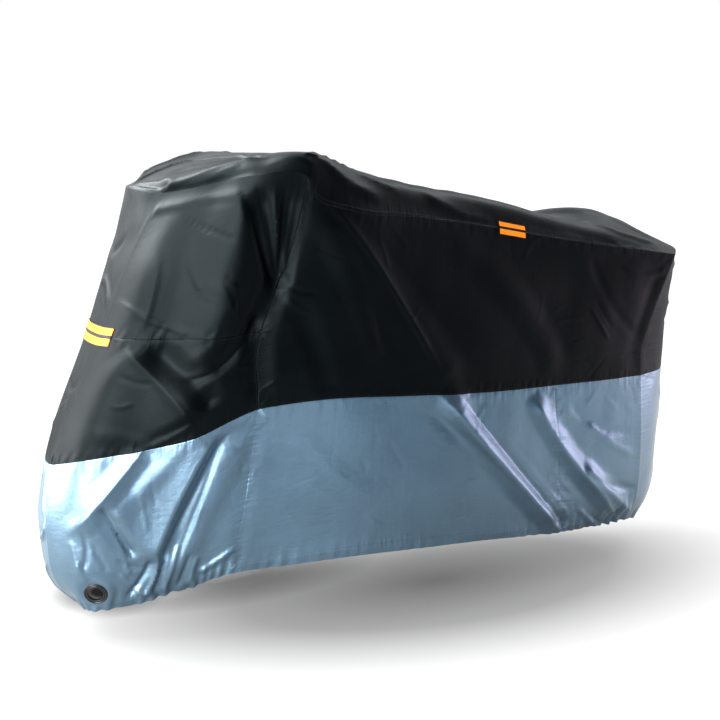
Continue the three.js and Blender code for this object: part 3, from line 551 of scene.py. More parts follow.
def seam_relief(distance, along, seed, puckers, border):
    """Dip at a seam and the puckers beside it, in millimetres."""
    at_seam = np.exp(-(distance / SEAM_WIDTH) ** 2)
    dip = -SEAM_DIP * at_seam
    if border:
        dip = BORDER_RISE * (1 - at_seam) * np.exp(-distance / BORDER_REACH)
    ripple = waves(along, distance * 0.25, seed, PUCKER_PITCH)
    ripple *= np.exp(-((distance - PUCKER_PLACE) / PUCKER_SPREAD) ** 2)
    return dip + ripple * puckers * (1 - np.exp(-(distance / 4) ** 2))


def side_swell(x, z):
    """Slow swell of a side, in millimetres."""
    along = np.sin(x / SWELL_ALONG[0] * 2 * np.pi + z / SWELL_ALONG[1])
    return SWELL_HEIGHT * along * np.cos(z / SWELL_UP[0] * 2 * np.pi + x / SWELL_UP[1])


def cloth_depths():
    """Depths of the hem's gathers and of the seam puckers, in millimetres."""
    return settings().gather_depth / MM, settings().pucker_depth / MM


def side_relief(name, s, t, x, z):
    """Relief of a side patch, and its seams as pairs of distance and place along the seam."""
    side = -1 if name == "left" else 1
    main, creases = (LEFT_MAIN, LEFT_CREASES) if side < 0 else (RIGHT_MAIN, RIGHT_CREASES)
    gather_depth, puckers = cloth_depths()
    ends = np.minimum(s - GIRTH[0], TAIL_SEAM - s)
    under_top = LEVEL["seam"] - t
    edge = np.minimum(ends, under_top)
    join = np.abs(t - LEVEL["join"])
    waist = np.abs(t - LEVEL["waist"])
    bar = np.abs(s - BAR_SEAM)
    rear = np.abs(s - REAR_JOIN)
    front = smooth((BAR_SEAM - s) / SEAM_EASE)
    in_band = smooth((LEVEL["join"] - t) / SEAM_EASE)
    swell = side_swell(x + side * SWELL_SHIFT, z)
    push = (fold_height(main, x, z) + swell) * smooth(edge / FOLD_EASE)
    for folds in (creases, short_creases(61 + side, SILVER_AREA, count=44, height=2.0),
                  short_creases(71 + side, BLACK_AREA, count=26, height=1.5)):
        push += fold_height(folds, x, z) * smooth(edge / CREASE_EASE)
    push += waves(x, z, 11 + side, 130) * (0.6 - 0.35 * front) * smooth(edge / WAVE_EASE)
    tight = 1.25 - smooth((s - LOOSE_FROM) / LOOSE_EASE) * smooth((LOOSE_TO - s) / LOOSE_EASE)
    reach = GATHER_REACH + TAIL_REACH * smooth((s - TAIL_REACH_FROM) / 120)
    gather = waves(s, t * 0.2, 5 + side, GATHER_PITCH) * tight * smooth(1 - t / reach)
    push += gather * gather_depth * smooth(edge / GATHER_EASE)
    push += HEM_RISE * smooth((HEM_FOLD - t) / HEM_EASE)
    inside = smooth(edge / SEAM_EASE)
    # Each seam: distance, place along it, seed, puckers, whether it is a border, and its share.
    for distance, along, seed, factor, border, share in (
            (join, s, 21, 1, False, inside),
            (waist, s, 22, 1.4, False, inside * front),
            (bar, t, 23, 1, False, 0.45 * smooth(under_top / SEAM_EASE)),
            (rear, t, 24, 1.8, False, in_band),
            (ends, t, 25, 1, True, np.where(s < BAR_SEAM, 0, 0.25)),
            (under_top, s, 26, 1, True, 0.7 * (1 - front) * smooth(ends / SEAM_EASE))):
        push += share * seam_relief(distance, along, seed, puckers * factor, border)
    return push, [
        (join, s),
        (s - GIRTH[0] + QUIET, t),
        (TAIL_SEAM - s, t),
        (under_top + QUIET * front, s),
        (np.where(s < BAR_SEAM + 30, waist, NO_SEAM), s),
        (bar, t),
        (np.where(t < LEVEL["join"], rear, NO_SEAM), t),
        (np.abs(t - HEM_FOLD + HEM_EASE), s),
    ]


def top_relief(s, t, x, y):
    """Relief of the top gusset and its seams."""
    puckers = cloth_depths()[1]
    half = TOP_HALF - np.abs(t)
    ends = np.minimum(s - GIRTH[0], TAIL_SEAM - s)
    edge = np.minimum(ends, half)
    front = smooth((BAR_SEAM - s) / SEAM_EASE)
    push = fold_height(TOP_MAIN, x, y) * smooth(edge / FOLD_EASE)
    push += fold_height(TOP_CREASES, x, y) * smooth(edge / TOP_CREASE_EASE)
    push += waves(x, y, 31, 120) * (1 - 0.6 * front) * smooth(edge / WAVE_EASE)
    push += 0.7 * (1 - front) * seam_relief(half, s, 33, puckers, True) * smooth(ends / SEAM_EASE)
    return push, [(half + QUIET * front, s)]


def end_relief(name, s, t, y, z):
    """Relief of the nose or tail gusset and its seams."""
    nose = name == "nose"
    gather_depth, puckers = cloth_depths()
    half = (TOP_HALF - np.abs(t)) * END_SHARE
    edge = np.minimum(half, LEVEL["seam"] - s)
    join = np.abs(s - LEVEL["join"])
    push = fold_height(NOSE_CREASES if nose else TAIL_CREASES, y, z) * smooth(edge / SEAM_EASE)
    push += waves(y, z, 41, 90) * 0.9 * smooth(edge / TOP_CREASE_EASE)
    gather = waves(t * (END_ALONG if nose else TAIL_ALONG), s * 0.2, 43, GATHER_PITCH)
    push += gather * smooth(1 - s / GATHER_REACH) * gather_depth * smooth(edge / 10)
    push += HEM_RISE * smooth((HEM_FOLD - s) / HEM_EASE) * smooth(edge / 4)
    along = t * END_ALONG
    push += seam_relief(join, along, 44, puckers, False) * smooth(edge / 4)
    beside = half + QUIET if nose else half
    return push, [(beside, s), (join, along), (np.abs(s - HEM_FOLD + HEM_EASE), along)]


def draped_patch(name):
    """Points, cloth coordinates and seam coordinates of a patch, with its folds."""
    net, row_knots, column_knots, turn = PATCHES[name]
    net = np.array(net, float)
    rows = V_LINES if name in ("nose", "tail") else U_LINES
    columns = V_LINES if name in ("left", "right") else W_LINES

    def grid(s, t):
        return np.einsum("si,ijc,tj->stc", cubic_rows(row_knots, s), net,
                         cubic_rows(column_knots, t))

    step = 0.5
    base = grid(rows, columns)
    ahead = np.minimum(rows + step, rows[-1])
    behind = np.maximum(rows - step, rows[0])
    right = np.minimum(columns + step, columns[-1])
    left = np.maximum(columns - step, columns[0])
    ds = grid(ahead, columns) - grid(behind, columns)
    dt = grid(rows, right) - grid(rows, left)
    normal = np.cross(ds, dt) * turn
    normal /= np.linalg.norm(normal, axis=2, keepdims=True)
    s, t = np.meshgrid(rows, columns, indexing="ij")
    x, y, z = base[..., 0], base[..., 1], base[..., 2]
    if name == "top":
        push, seams = top_relief(s, t, x, y)
    elif name in ("nose", "tail"):
        push, seams = end_relief(name, s, t, y, z)
    else:
        push, seams = side_relief(name, s, t, x, z)
    cloth = np.stack([s, t] if name in ("left", "right") else [t, s], -1)
    distances = [distance for distance, _ in seams]
    along = np.choose(np.argmin(distances, axis=0), [place for _, place in seams])
    points = (base + normal * push[..., None]) * MM
    points[..., 2] += GROUND
    return {"rows": rows, "columns": columns, "points": points, "normal": normal, "turn": turn,
            "cloth": cloth * MM, "seam": np.stack([along, np.min(distances, axis=0)], -1) * MM}


_draped = {}


def draped(name):
    if name not in _draped:
        _draped[name] = draped_patch(name)
    return _draped[name]


def cad_points(node):
    return np.array([vertex.co[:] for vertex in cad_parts[node].data.vertices])


def polar(points, centre, axis):
    """Depth along an axis and radius round it."""
    arm = points - centre
    depth = arm @ axis
    return depth, np.linalg.norm(arm - depth[..., None] * axis, axis=-1)


def eyelet_place(side):
    """Centre and outward axis of a CAD eyelet."""
    points = cad_points(f"eyelet_{side}")
    low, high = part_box(f"eyelet_{side}")
    centre = (np.array(low) + np.array(high)) / 2
    axis = np.linalg.svd(points - points.mean(0), full_matrices=False)[2][2]
    outward = -1 if side == "left" else 1
    return centre, axis if axis[1] * outward > 0 else -axis


def cloth_plane(side):
    """Depth of the CAD lock patch's outer face on the eyelet's axis, from the eyelet's centre."""
    depth, radius = polar(cad_points(f"lock_patch_{side}"), *eyelet_place(side))
    return float(depth[radius < HOLE_RADIUS + RIM_REACH].max())


def flatten_at_eyelet(points, side):
    """Lays the cloth round an eyelet flat in the eyelet's plane."""
    centre, axis = eyelet_place(side)
    depth, radius = polar(points, centre, axis)
    share = 1 - smooth((radius - FLAT_RADIUS) / (FLAT_EDGE - FLAT_RADIUS))
    share *= np.abs(depth) < FLAT_DEPTH
    return points - (share * (depth - cloth_plane(side)))[..., None] * axis


def clear_selection():
    bpy.ops.object.select_all(action="DESELECT")


def use_alone(piece):
    clear_selection()
    piece.select_set(True)
    bpy.context.view_layer.objects.active = piece


def apply_modifier(piece, name):
    use_alone(piece)
    bpy.ops.object.modifier_apply(modifier=name)


def on_grid(places, span):
    """Indices of the grid lines within a span, ends included."""
    return np.flatnonzero((places > span[0] - 0.01) & (places < span[1] + 0.01))


def area_points(patch, s_span, t_span):
    """Grid indices and points of an area of a draped patch."""
    data = draped(patch)
    i = on_grid(data["rows"], s_span)
    j = on_grid(data["columns"], t_span)
    return i, j, data["points"][np.ix_(i, j)]


def cloth_mesh(name, areas, wall, lift=0.0, eyelet=None):
    """A thin sheet over areas of the draped patches, each as (patch, span of s, span of t)."""
    bm = bmesh.new()
    cloth_layer = bm.loops.layers.uv.new("cloth")
    seam_layer = bm.loops.layers.uv.new("seam")
    for patch, s_span, t_span in areas:
        data = draped(patch)
        i, j, points = area_points(patch, s_span, t_span)
        if patch in ("left", "right"):
            points = flatten_at_eyelet(points, patch)
        points = points + data["normal"][np.ix_(i, j)] * lift
        verts = [[bm.verts.new(point) for point in row] for row in points]
        for a in range(len(i) - 1):
            for b in range(len(j) - 1):
                corners = [(a, b), (a + 1, b), (a + 1, b + 1), (a, b + 1)]
                if data["turn"] < 0:
                    corners.reverse()
                face = bm.faces.new([verts[m][n] for m, n in corners])
                face.smooth = True
                for loop, (m, n) in zip(face.loops, corners):
                    loop[cloth_layer].uv = data["cloth"][i[m], j[n]]
                    loop[seam_layer].uv = data["seam"][i[m], j[n]]
    bmesh.ops.remove_doubles(bm, verts=bm.verts, dist=WELD)
    if eyelet:
        cut_eyelet_hole(bm, eyelet)
    mesh = bpy.data.meshes.new(name)
    bm.to_mesh(mesh)
    bm.free()
    piece = bpy.data.objects.new(name, mesh)
    bpy.context.scene.collection.objects.link(piece)
    area = sum(face.area for face in mesh.polygons)
    sheet = piece.modifiers.new("wall", "SOLIDIFY")
    sheet.thickness = wall
    sheet.offset = 1 if lift else -1
    sheet.material_offset = 0 if lift else 1
    apply_modifier(piece, "wall")
    bpy.ops.object.shade_smooth_by_angle(angle=CLOTH_ANGLE)
    return piece, area


def cut_eyelet_hole(bm, side):
    """Opens the round hole under an eyelet and sets its rim on the circle."""
    centre, axis = (Vector(v) for v in eyelet_place(side))

    def radius(point):
        arm = point - centre
        return (arm - axis * arm.dot(axis)).length

    inside = [f for f in bm.faces if radius(f.calc_center_median()) < HOLE_RADIUS]
    bmesh.ops.delete(bm, geom=inside, context="FACES")
    for vert in bm.verts:
        if vert.is_boundary and radius(vert.co) < HOLE_RADIUS * 1.5:
            arm = vert.co - centre
            depth = axis * arm.dot(axis)
            flat = arm - depth
            vert.co = centre + depth + flat * (HOLE_RADIUS / flat.length)


class Nodes:
    """Short calls to make and link shader nodes."""

    def __init__(self, owner):
        owner.use_nodes = True
        self.tree = owner.node_tree
        self.tree.nodes.clear()

    def add(self, kind, sockets=None, **values):
        """A node with its attributes, and what goes into its sockets: a value or another socket."""
        node = self.tree.nodes.new(kind)
        for name, value in values.items():
            setattr(node, name, value)
        for name, value in (sockets or {}).items():
            if hasattr(value, "is_linked"):
                self.tree.links.new(value, node.inputs[name])
            elif value is not None:
                node.inputs[name].default_value = value
        return node

    def math(self, operation, a, b=None, clamp=False):
        node = self.add("ShaderNodeMath", {0: a, 1: b}, operation=operation, use_clamp=clamp)
        return node.outputs[0]

    def mix(self, blend, share, below, above):
        sockets = {0: share, 1: below, 2: above}
        return self.add("ShaderNodeMixRGB", sockets, blend_type=blend).outputs[0]

    def uv(self, layer):
        return self.add("ShaderNodeUVMap", uv_map=layer).outputs["UV"]

    def split(self, vector):
        """The x, y and z sockets of a vector."""
        return self.add("ShaderNodeSeparateXYZ", {0: vector}).outputs

    def scaled(self, vector, scale, turn=0.0):
        sockets = {"Vector": vector, "Scale": scale, "Rotation": (0, 0, turn)}
        return self.add("ShaderNodeMapping", sockets).outputs["Vector"]

    def reach(self, place, offset, scale):
        """Distance from a point of the floor, in units of its own widths."""
        moved = self.add("ShaderNodeVectorMath", {0: place, 1: offset}, operation="ADD")
        moved = {0: self.scaled(moved.outputs[0], scale)}
        return self.add("ShaderNodeVectorMath", moved, operation="LENGTH").outputs["Value"]

    def noise(self, vector, scale, detail=2.0, roughness=0.5):
        sockets = {"Vector": vector, "Scale": scale, "Detail": detail, "Roughness": roughness}
        return self.add("ShaderNodeTexNoise", sockets).outputs["Fac"]

    def ramp(self, value, stops):
        node = self.add("ShaderNodeValToRGB", {"Fac": value})
        elements = node.color_ramp.elements
        while len(elements) < len(stops):
            elements.new(0.5)
        for element, (place, colour) in zip(elements, stops):
            element.position = place
            element.color = (*colour, 1)
        return node.outputs["Color"]

    def tones(self, value, low, high):
        """Grey or colour from low to high over the middle of a noise."""
        low, high = [tone if hasattr(tone, "__len__") else (tone,) * 3 for tone in (low, high)]
        return self.ramp(value, [(0.3, low), (0.7, high)])

    def bump(self, height, distance, strength, below=None):
        sockets = {"Height": height, "Distance": distance, "Strength": strength, "Normal": below}
        return self.add("ShaderNodeBump", sockets).outputs["Normal"]

    def surface(self, **values):
        """The surface that the material shows; a socket's name has _ for each space."""
        sockets = {name.replace("_", " "): value for name, value in values.items()}
        bsdf = self.add("ShaderNodeBsdfPrincipled", sockets)
        self.add("ShaderNodeOutputMaterial", {"Surface": bsdf.outputs["BSDF"]})


def cloth_bump(nodes, crumple, weave, ruffle, thread):
    """Crumples, seam puckers, weave and stitches of coated cloth, as one normal.

    Also returns the stitches, the soft crumples and the crease lines that take a painted highlight,
    as values from 0 to 1."""
    cloth = nodes.uv("cloth")
    along, distance, _ = nodes.split(nodes.uv("seam"))
    soft = nodes.noise(cloth, scale=9.0, detail=3.0, roughness=0.55)
    fine = nodes.noise(nodes.scaled(cloth, (1.0, 2.2, 1.0)), scale=38.0, detail=3.0, roughness=0.6)
    warp = nodes.add("ShaderNodeTexNoise", {"Vector": cloth, "Scale": 6.0}).outputs["Color"]
    warped = {"Vector": nodes.mix("MIX", 0.06, cloth, warp), "Scale": 8.0}
    cells = nodes.add("ShaderNodeTexVoronoi", warped, feature="DISTANCE_TO_EDGE")
    from_edge = cells.outputs["Distance"]
    sharp = nodes.math("MINIMUM", from_edge, 0.12)
    patchy = nodes.math("SUBTRACT", nodes.noise(cloth, scale=4.1, detail=1.0), 0.5, True)
    patchy = nodes.math("MULTIPLY", patchy, 6.0, True)
    creased = nodes.math("MULTIPLY", nodes.math("MULTIPLY", sharp, 3.0), patchy)
    height = nodes.math("ADD", nodes.math("MULTIPLY", soft, 0.5), nodes.math("MULTIPLY", fine, 0.2))
    height = nodes.math("ADD", height, nodes.math("MULTIPLY", creased, 0.4))
    normal = nodes.bump(height, distance=0.010, strength=crumple)
    strokes = nodes.noise(nodes.scaled(cloth, (75.0, 9.0, 1.0), turn=0.75), scale=1.0)
    strokes = nodes.math("MULTIPLY", strokes, nodes.noise(cloth, scale=5.0, detail=1.0))
    normal = nodes.bump(strokes, 0.0022, crumple, normal)
    ripple = nodes.noise(nodes.scaled(nodes.uv("seam"), (95.0, 9.0, 1.0)), scale=1.0)
    close = nodes.math("SUBTRACT", 1.0, nodes.math("MULTIPLY", distance, 26.0), True)
    ripple = nodes.math("MULTIPLY", ripple, nodes.math("POWER", close, 1.5))
    normal = nodes.bump(ripple, 0.006, ruffle, normal)
    threads = nodes.add("ShaderNodeTexChecker", {"Vector": cloth, "Scale": THREADS_PER_METRE})
    normal = nodes.bump(threads.outputs["Fac"], 0.0002, weave, normal)
    dash = nodes.math("FRACT", nodes.math("MULTIPLY", along, 1 / STITCH["pitch"]))
    dash = nodes.math("GREATER_THAN", dash, STITCH["gap"])
    beside = nodes.math("ABSOLUTE", nodes.math("SUBTRACT", distance, STITCH["beside"]))
    row = nodes.math("LESS_THAN", beside, STITCH["half"])
    stitch = nodes.math("MULTIPLY", dash, row)
    normal = nodes.bump(stitch, 0.0009, thread, normal)
    groove = nodes.math("MINIMUM", distance, 0.0016)
    normal = nodes.bump(groove, 0.6, min(1.0, thread + 0.3), normal)
    # Crease lines, in patches, that get a painted highlight on the silver cloth.
    painted_crease_highlight = nodes.math("LESS_THAN", from_edge, 0.009)
    return normal, stitch, soft, nodes.math("MULTIPLY", painted_crease_highlight, patchy)


def shade(colour, factor):
    return [min(1, channel * factor) for channel in colour]


def black_cloth(nodes):
    """Satin black coated polyester."""
    normal, stitch, soft, _ = cloth_bump(nodes, crumple=0.18, weave=0.08, ruffle=0.3, thread=0.7)
    base = settings().black
    cloth = nodes.tones(soft, shade(base, 0.82), shade(base, 1.25))
    nodes.surface(Base_Color=nodes.mix("MIX", stitch, cloth, BLACK_THREAD), Normal=normal,
                  Roughness=nodes.tones(soft, 0.44, 0.5), Specular_IOR_Level=0.13,
                  Specular_Tint=(0.74, 0.93, 1.0, 1.0))


def silver_cloth(nodes):
    """Silver coated polyester with a satin metallic sheen, and a painted highlight that makes its
    crease lines paler.
    """
    normal, stitch, soft, painted_crease_highlight = cloth_bump(nodes, crumple=0.42, weave=0.10, ruffle=0.4,
                                            thread=0.05)
    base = settings().silver
    cloth = nodes.tones(soft, shade(base, 0.93), shade(base, 1.06))
    # Painted highlight: the crease lines get a paler copy of the cloth's colour.
    cloth = nodes.mix("MIX", nodes.math("MULTIPLY", painted_crease_highlight, 0.2), cloth, (*shade(base, 1.7), 1))
    nodes.surface(Base_Color=nodes.mix("MIX", stitch, cloth, SILVER_THREAD), Normal=normal,
                  Roughness=nodes.tones(soft, 0.33, 0.41), Metallic=0.9, Specular_IOR_Level=0.5,
                  Coat_Weight=1.0, Coat_Roughness=0.32)


def inner_cloth(nodes):
    """Dull dark inner face of the coated cloth."""
    normal, _, soft, _ = cloth_bump(nodes, crumple=0.3, weave=0.15, ruffle=0.3, thread=0.5)
    colour = nodes.tones(soft, (0.022, 0.023, 0.025), (0.032, 0.034, 0.036))
    nodes.surface(Base_Color=colour, Normal=normal, Roughness=nodes.tones(soft, 0.7, 0.8),
                  Specular_IOR_Level=0.15)


def eyelet_plastic(nodes):
    """Black moulded plastic, semi-matte."""
    place = nodes.add("ShaderNodeTexCoord").outputs["Object"]
    grain = nodes.noise(place, scale=900.0)
    colour = nodes.tones(grain, (0.008, 0.008, 0.009), (0.013, 0.013, 0.014))
    nodes.surface(Base_Color=colour, Normal=nodes.bump(grain, distance=0.0003, strength=0.25),
                  Roughness=nodes.tones(grain, 0.28, 0.36), Specular_IOR_Level=0.5)


def tape_cloth(nodes):
    """Fluorescent tape: two orange stripes, a black middle line and dark edges, with a faint
    painted glow in the stripes' colour.
    """
    base = settings().tape
    upper = (min(1, base[0]), base[1] * 1.1, base[2])
    black = (0.012, 0.012, 0.012)
    stops = [(0.0, black), (0.05, upper), (0.41, black), (0.59, base), (0.95, black)]
    stripes = nodes.ramp(nodes.split(nodes.uv("tape"))["Y"], stops)
    stripes.node.color_ramp.interpolation = "CONSTANT"
    weave = nodes.noise(nodes.uv("cloth"), scale=700.0, detail=1.0)
    # A faint painted glow: the stripes also emit their own colour.
    nodes.surface(Base_Color=stripes, Emission_Color=stripes, Emission_Strength=0.2,
                  Normal=nodes.bump(weave, distance=0.0005, strength=0.3),
                  Roughness=nodes.tones(weave, 0.32, 0.42), Specular_IOR_Level=0.2)


_materials = {}
MAKERS = {"black_cloth": black_cloth, "silver_cloth": silver_cloth, "inner_cloth": inner_cloth,
          "eyelet": eyelet_plastic, "tape": tape_cloth}


def new_material(maker):
    """A material named after the function that fills in its nodes."""
    material = bpy.data.materials.new(maker.__name__)
    maker(Nodes(material))
    return material


def material_of(slot):
    if slot not in _materials:
        _materials[slot] = new_material(MAKERS[slot])
    return _materials[slot]


def finish(piece, slot, *nodes):
    """Gives a piece its material, slot, body and the CAD nodes it stands for."""
    while len(piece.data.materials) < 2:
        piece.data.materials.append(None)
    piece.data.materials[0] = material_of(slot)
    if slot.endswith("_cloth"):
        piece.data.materials[1] = material_of("inner_cloth")
    else:
        piece.data.materials.pop(index=1)
    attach(piece, "root")
    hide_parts(*nodes)


BAND = (0, LEVEL["join"])
UPPER = (LEVEL["join"], LEVEL["seam"])
FULL_W = (-TOP_HALF, TOP_HALF)


def panel_areas(side):
    """Areas of the side panels, by CAD node."""
    front = (GIRTH[0], BAR_SEAM)
    return {
        f"black_front_upper_{side}": [(side, front, (LEVEL["waist"], LEVEL["seam"]))],
        f"black_front_lower_{side}": [(side, front, (LEVEL["join"], LEVEL["waist"]))],
        f"black_side_{side}": [(side, (BAR_SEAM, TAIL_SEAM), UPPER)],
        f"silver_front_{side}": [(side, front, BAND)],
        f"silver_middle_{side}": [(side, (BAR_SEAM, REAR_JOIN), BAND)],
        f"silver_rear_{side}": [(side, (REAR_JOIN, TAIL_SEAM), BAND)],
    }


BLACK_GUSSET = ("black_nose_gusset", "black_top_front", "black_top_middle", "black_top_seat",
                "black_top_rear", "black_tail_gusset")
GUSSET_AREAS = {
    "black_gusset": [("nose", UPPER, FULL_W), ("top", (GIRTH[0], TAIL_SEAM), FULL_W),
                     ("tail", UPPER, FULL_W)],
    "silver_nose_gusset": [("nose", BAND, FULL_W)],
    "silver_tail_gusset": [("tail", BAND, FULL_W)],
}


def flat_size(areas):
    """Length and width of the flat cloth that covers some areas joined end to end along s."""
    length = 0
    width = 0
    for area in areas:
        points = area_points(*area)[2]
        length += np.linalg.norm(np.diff(points, axis=0), axis=2).sum(0).max()
        width = max(width, np.linalg.norm(np.diff(points, axis=1), axis=2).sum(1).max())
    return float(length), float(width)


def make_panels(areas):
    """Makes each panel of a table of areas, as a draped sheet."""
    for node, where in areas.items():
        side = node.rsplit("_", 1)[1]
        eyelet = side if node.startswith("silver_front") else None
        piece, area = cloth_mesh("cloth_" + node, where, CLOTH_WALL, eyelet=eyelet)
        stands_for = (node, "lock_patch_" + side) if eyelet else (node,)
        if node == "black_gusset":
            stands_for = BLACK_GUSSET
        finish(piece, "black_cloth" if node.startswith("black") else "silver_cloth", *stands_for)
        flat_size(where)


class COVER_OT_gusset(bpy.types.Operator):
    """Make the long gusset: nose, top and tail"""

    bl_idname = "cover.gusset"
    bl_label = "Gusset"

    def execute(self, context):
        make_panels(GUSSET_AREAS)
        return {"FINISHED"}


class COVER_OT_left_panels(bpy.types.Operator):
    """Make the panels of the left side"""

    bl_idname = "cover.left_panels"
    bl_label = "Left panels"

    def execute(self, context):
        make_panels(panel_areas("left"))
        return {"FINISHED"}


class COVER_OT_right_panels(bpy.types.Operator):
    """Make the panels of the right side"""

    bl_idname = "cover.right_panels"
    bl_label = "Right panels"

    def execute(self, context):
        make_panels(panel_areas("right"))
        return {"FINISHED"}


# Section of an eyelet ring: radius and height over the cloth, from its inner edge out and back.
RING_PROFILE = (
    (0.0205, 0.0004), (0.0211, 0.0024), (0.0232, 0.0034), (0.0250, 0.0029), (0.0262, 0.0020),
    (0.0275, 0.0023), (0.0288, 0.0034), (0.0308, 0.0031), (0.0321, 0.0019), (0.0325, 0.0003),
    (0.0223, 0.0003), (0.0223, -0.0023), (0.0318, -0.0023), (0.0312, -0.0043), (0.0205, -0.0043),
)


def eyelet_ring(side):
    """A moulded ring: outer flange with a groove and a raised lip, barrel and back flange."""
    radius, height = RING_PROFILE[0]
    clear_selection()
    bpy.ops.mesh.primitive_circle_add(vertices=RING_SIDES, radius=radius, location=(0, 0, height))
    piece = bpy.context.active_object
    piece.name = f"eyelet_ring_{side}"
    bpy.ops.object.mode_set(mode="EDIT")
    bpy.ops.mesh.select_all(action="SELECT")
    for (r0, h0), (r1, h1) in zip(RING_PROFILE, RING_PROFILE[1:]):
        bpy.ops.mesh.extrude_edges_move()
        bpy.ops.transform.resize(value=(r1 / r0, r1 / r0, 1))
        bpy.ops.transform.translate(value=(0, 0, h1 - h0))
    bpy.ops.mesh.select_all(action="SELECT")
    bpy.ops.mesh.region_to_loop()
    bpy.ops.mesh.bridge_edge_loops()
    bpy.ops.mesh.select_all(action="SELECT")
    bpy.ops.mesh.remove_doubles(threshold=1e-6)
    bpy.ops.mesh.normals_make_consistent(inside=False)
    bpy.ops.object.mode_set(mode="OBJECT")
    centre, axis = (Vector(v) for v in eyelet_place(side))
    turn = Vector((0, 0, 1)).rotation_difference(axis).to_matrix().to_4x4()
    piece.data.transform(Matrix.Translation(centre + axis * cloth_plane(side)) @ turn)
    piece.matrix_world = Matrix.Identity(4)
    use_alone(piece)
    bpy.ops.object.shade_smooth_by_angle(angle=RING_ANGLE)
    return piece


class COVER_OT_eyelets(bpy.types.Operator):
    """Make the eyelet rings"""

    bl_idname = "cover.eyelets"
    bl_label = "Eyelets"

    def execute(self, context):
        for side in ("left", "right"):
            finish(eyelet_ring(side), "eyelet", f"eyelet_{side}")
        return {"FINISHED"}


def tape_stripes(piece, across):
    """UV of a tape's stripes, from 0 at its lower edge to 1 at its upper edge."""
    layer = piece.data.uv_layers.new(name="tape")
    for loop, cloth in zip(layer.data, piece.data.uv_layers["cloth"].data):
        loop.uv = (cloth.uv[0], across(*cloth.uv))


def nose_tape():
    span = (NOSE_TAPE["bottom"], NOSE_TAPE["top"])
    wrap = (GIRTH[0], NOSE_TAPE["wrap"])
    areas = [("left", wrap, span), ("nose", span, FULL_W), ("right", wrap, span)]
    piece, area = cloth_mesh("reflective_tape_nose", areas, TAPE_WALL, TAPE_RISE * MM)
    height = (span[1] - span[0]) * MM
    tape_stripes(piece, lambda u, v: (v - span[0] * MM) / height)
    finish(piece, "tape", "tape_nose")


def side_tape(side, outer):
    """A tape over the top seam: its lower half on the side panel, its upper half on the gusset."""
    along = (SIDE_TAPE["from"], SIDE_TAPE["to"])
    lower = (LEVEL["seam"] - TAPE_MARGIN, LEVEL["seam"])
    upper = sorted((outer * (TOP_HALF - TAPE_MARGIN), outer * TOP_HALF))
    areas = [(side, along, lower), ("top", along, upper)]
    piece, area = cloth_mesh(f"reflective_tape_{side}", areas, TAPE_WALL, TAPE_RISE * MM)

    def across(u, v):
        """On the side panel u runs along the tape, and on the gusset v does."""
        if u > TOP_HALF * MM * 2:
            return 0.5 * (v - lower[0] * MM) / (TAPE_MARGIN * MM)
        return 0.5 + 0.5 * (TOP_HALF * MM - abs(u)) / (TAPE_MARGIN * MM)

    tape_stripes(piece, across)
    finish(piece, "tape", f"tape_{side}")


class COVER_OT_tapes(bpy.types.Operator):
    """Make the reflective tapes"""

    bl_idname = "cover.tapes"
    bl_label = "Tapes"

    def execute(self, context):
        nose_tape()
        side_tape("left", -1)
        side_tape("right", 1)
        return {"FINISHED"}


# The photograph's camera: its place in metres, turn in degrees, horizon and lens in pixels.
CAMERA_PLACE = (-1.60, -3.20, 0.118)
CAMERA_TURN = 25.0
HORIZON_ROW = 150
FOCAL_PIXELS = 1198
PHOTO_SIDE = 720
SENSOR = 36
# The studio: where its dark side lies, how bright its walls are, their greys from the light side
# to the dark one, and the lift of what lies below from the horizon down.
DARK_SIDE = (0.405, -0.91, 0.09)
WALL_LIGHT = 1.5
WALLS = [(0.0, (0.8, 0.82, 0.84)), (0.22, (0.8, 0.82, 0.84)), (0.36, (0.5, 0.53, 0.57)),
         (0.52, (1.0, 1.0, 1.0)), (0.62, (0.72, 0.72, 0.78)), (0.74, (0.3, 0.27, 0.33)),
         (0.84, (0.17, 0.14, 0.19)), (0.91, (0.02, 0.03, 0.034))]
BELOW = [(0.08, (0, 0, 0)), (0.24, (0.26, 0.34, 0.41)), (0.36, (0.21, 0.27, 0.33)),
         (0.6, (0.04, 0.05, 0.06))]
# The floor: a point of its near edge, and its half side. A soft shadow painted on the floor:
# offset, scale and greys.
FLOOR_EDGE = (-0.53, -0.90)
FLOOR_HALF = 30
COVER_PAINTED_SHADOW = ((-0.1, 0.1, 0), (0.42, 0.8, 0.0),
               [(0.0, 0.13), (0.26, 0.31), (0.42, 0.7), (0.56, 1.0)])
NOSE_PAINTED_SHADOW = ((0.5, -0.25, 0), (1.7, 3.2, 0.0), [(0.3, 0.04), (0.95, 1.0)])
# A small dark spot of painted shadow on the floor behind the left eyelet, which makes its hole look
# dark.
EYELET_PAINTED_SHADOW = ((0.85, -0.24, 0), (5.0, 4.2, 0.0), [(0.16, 0.02), (0.98, 1.0)])
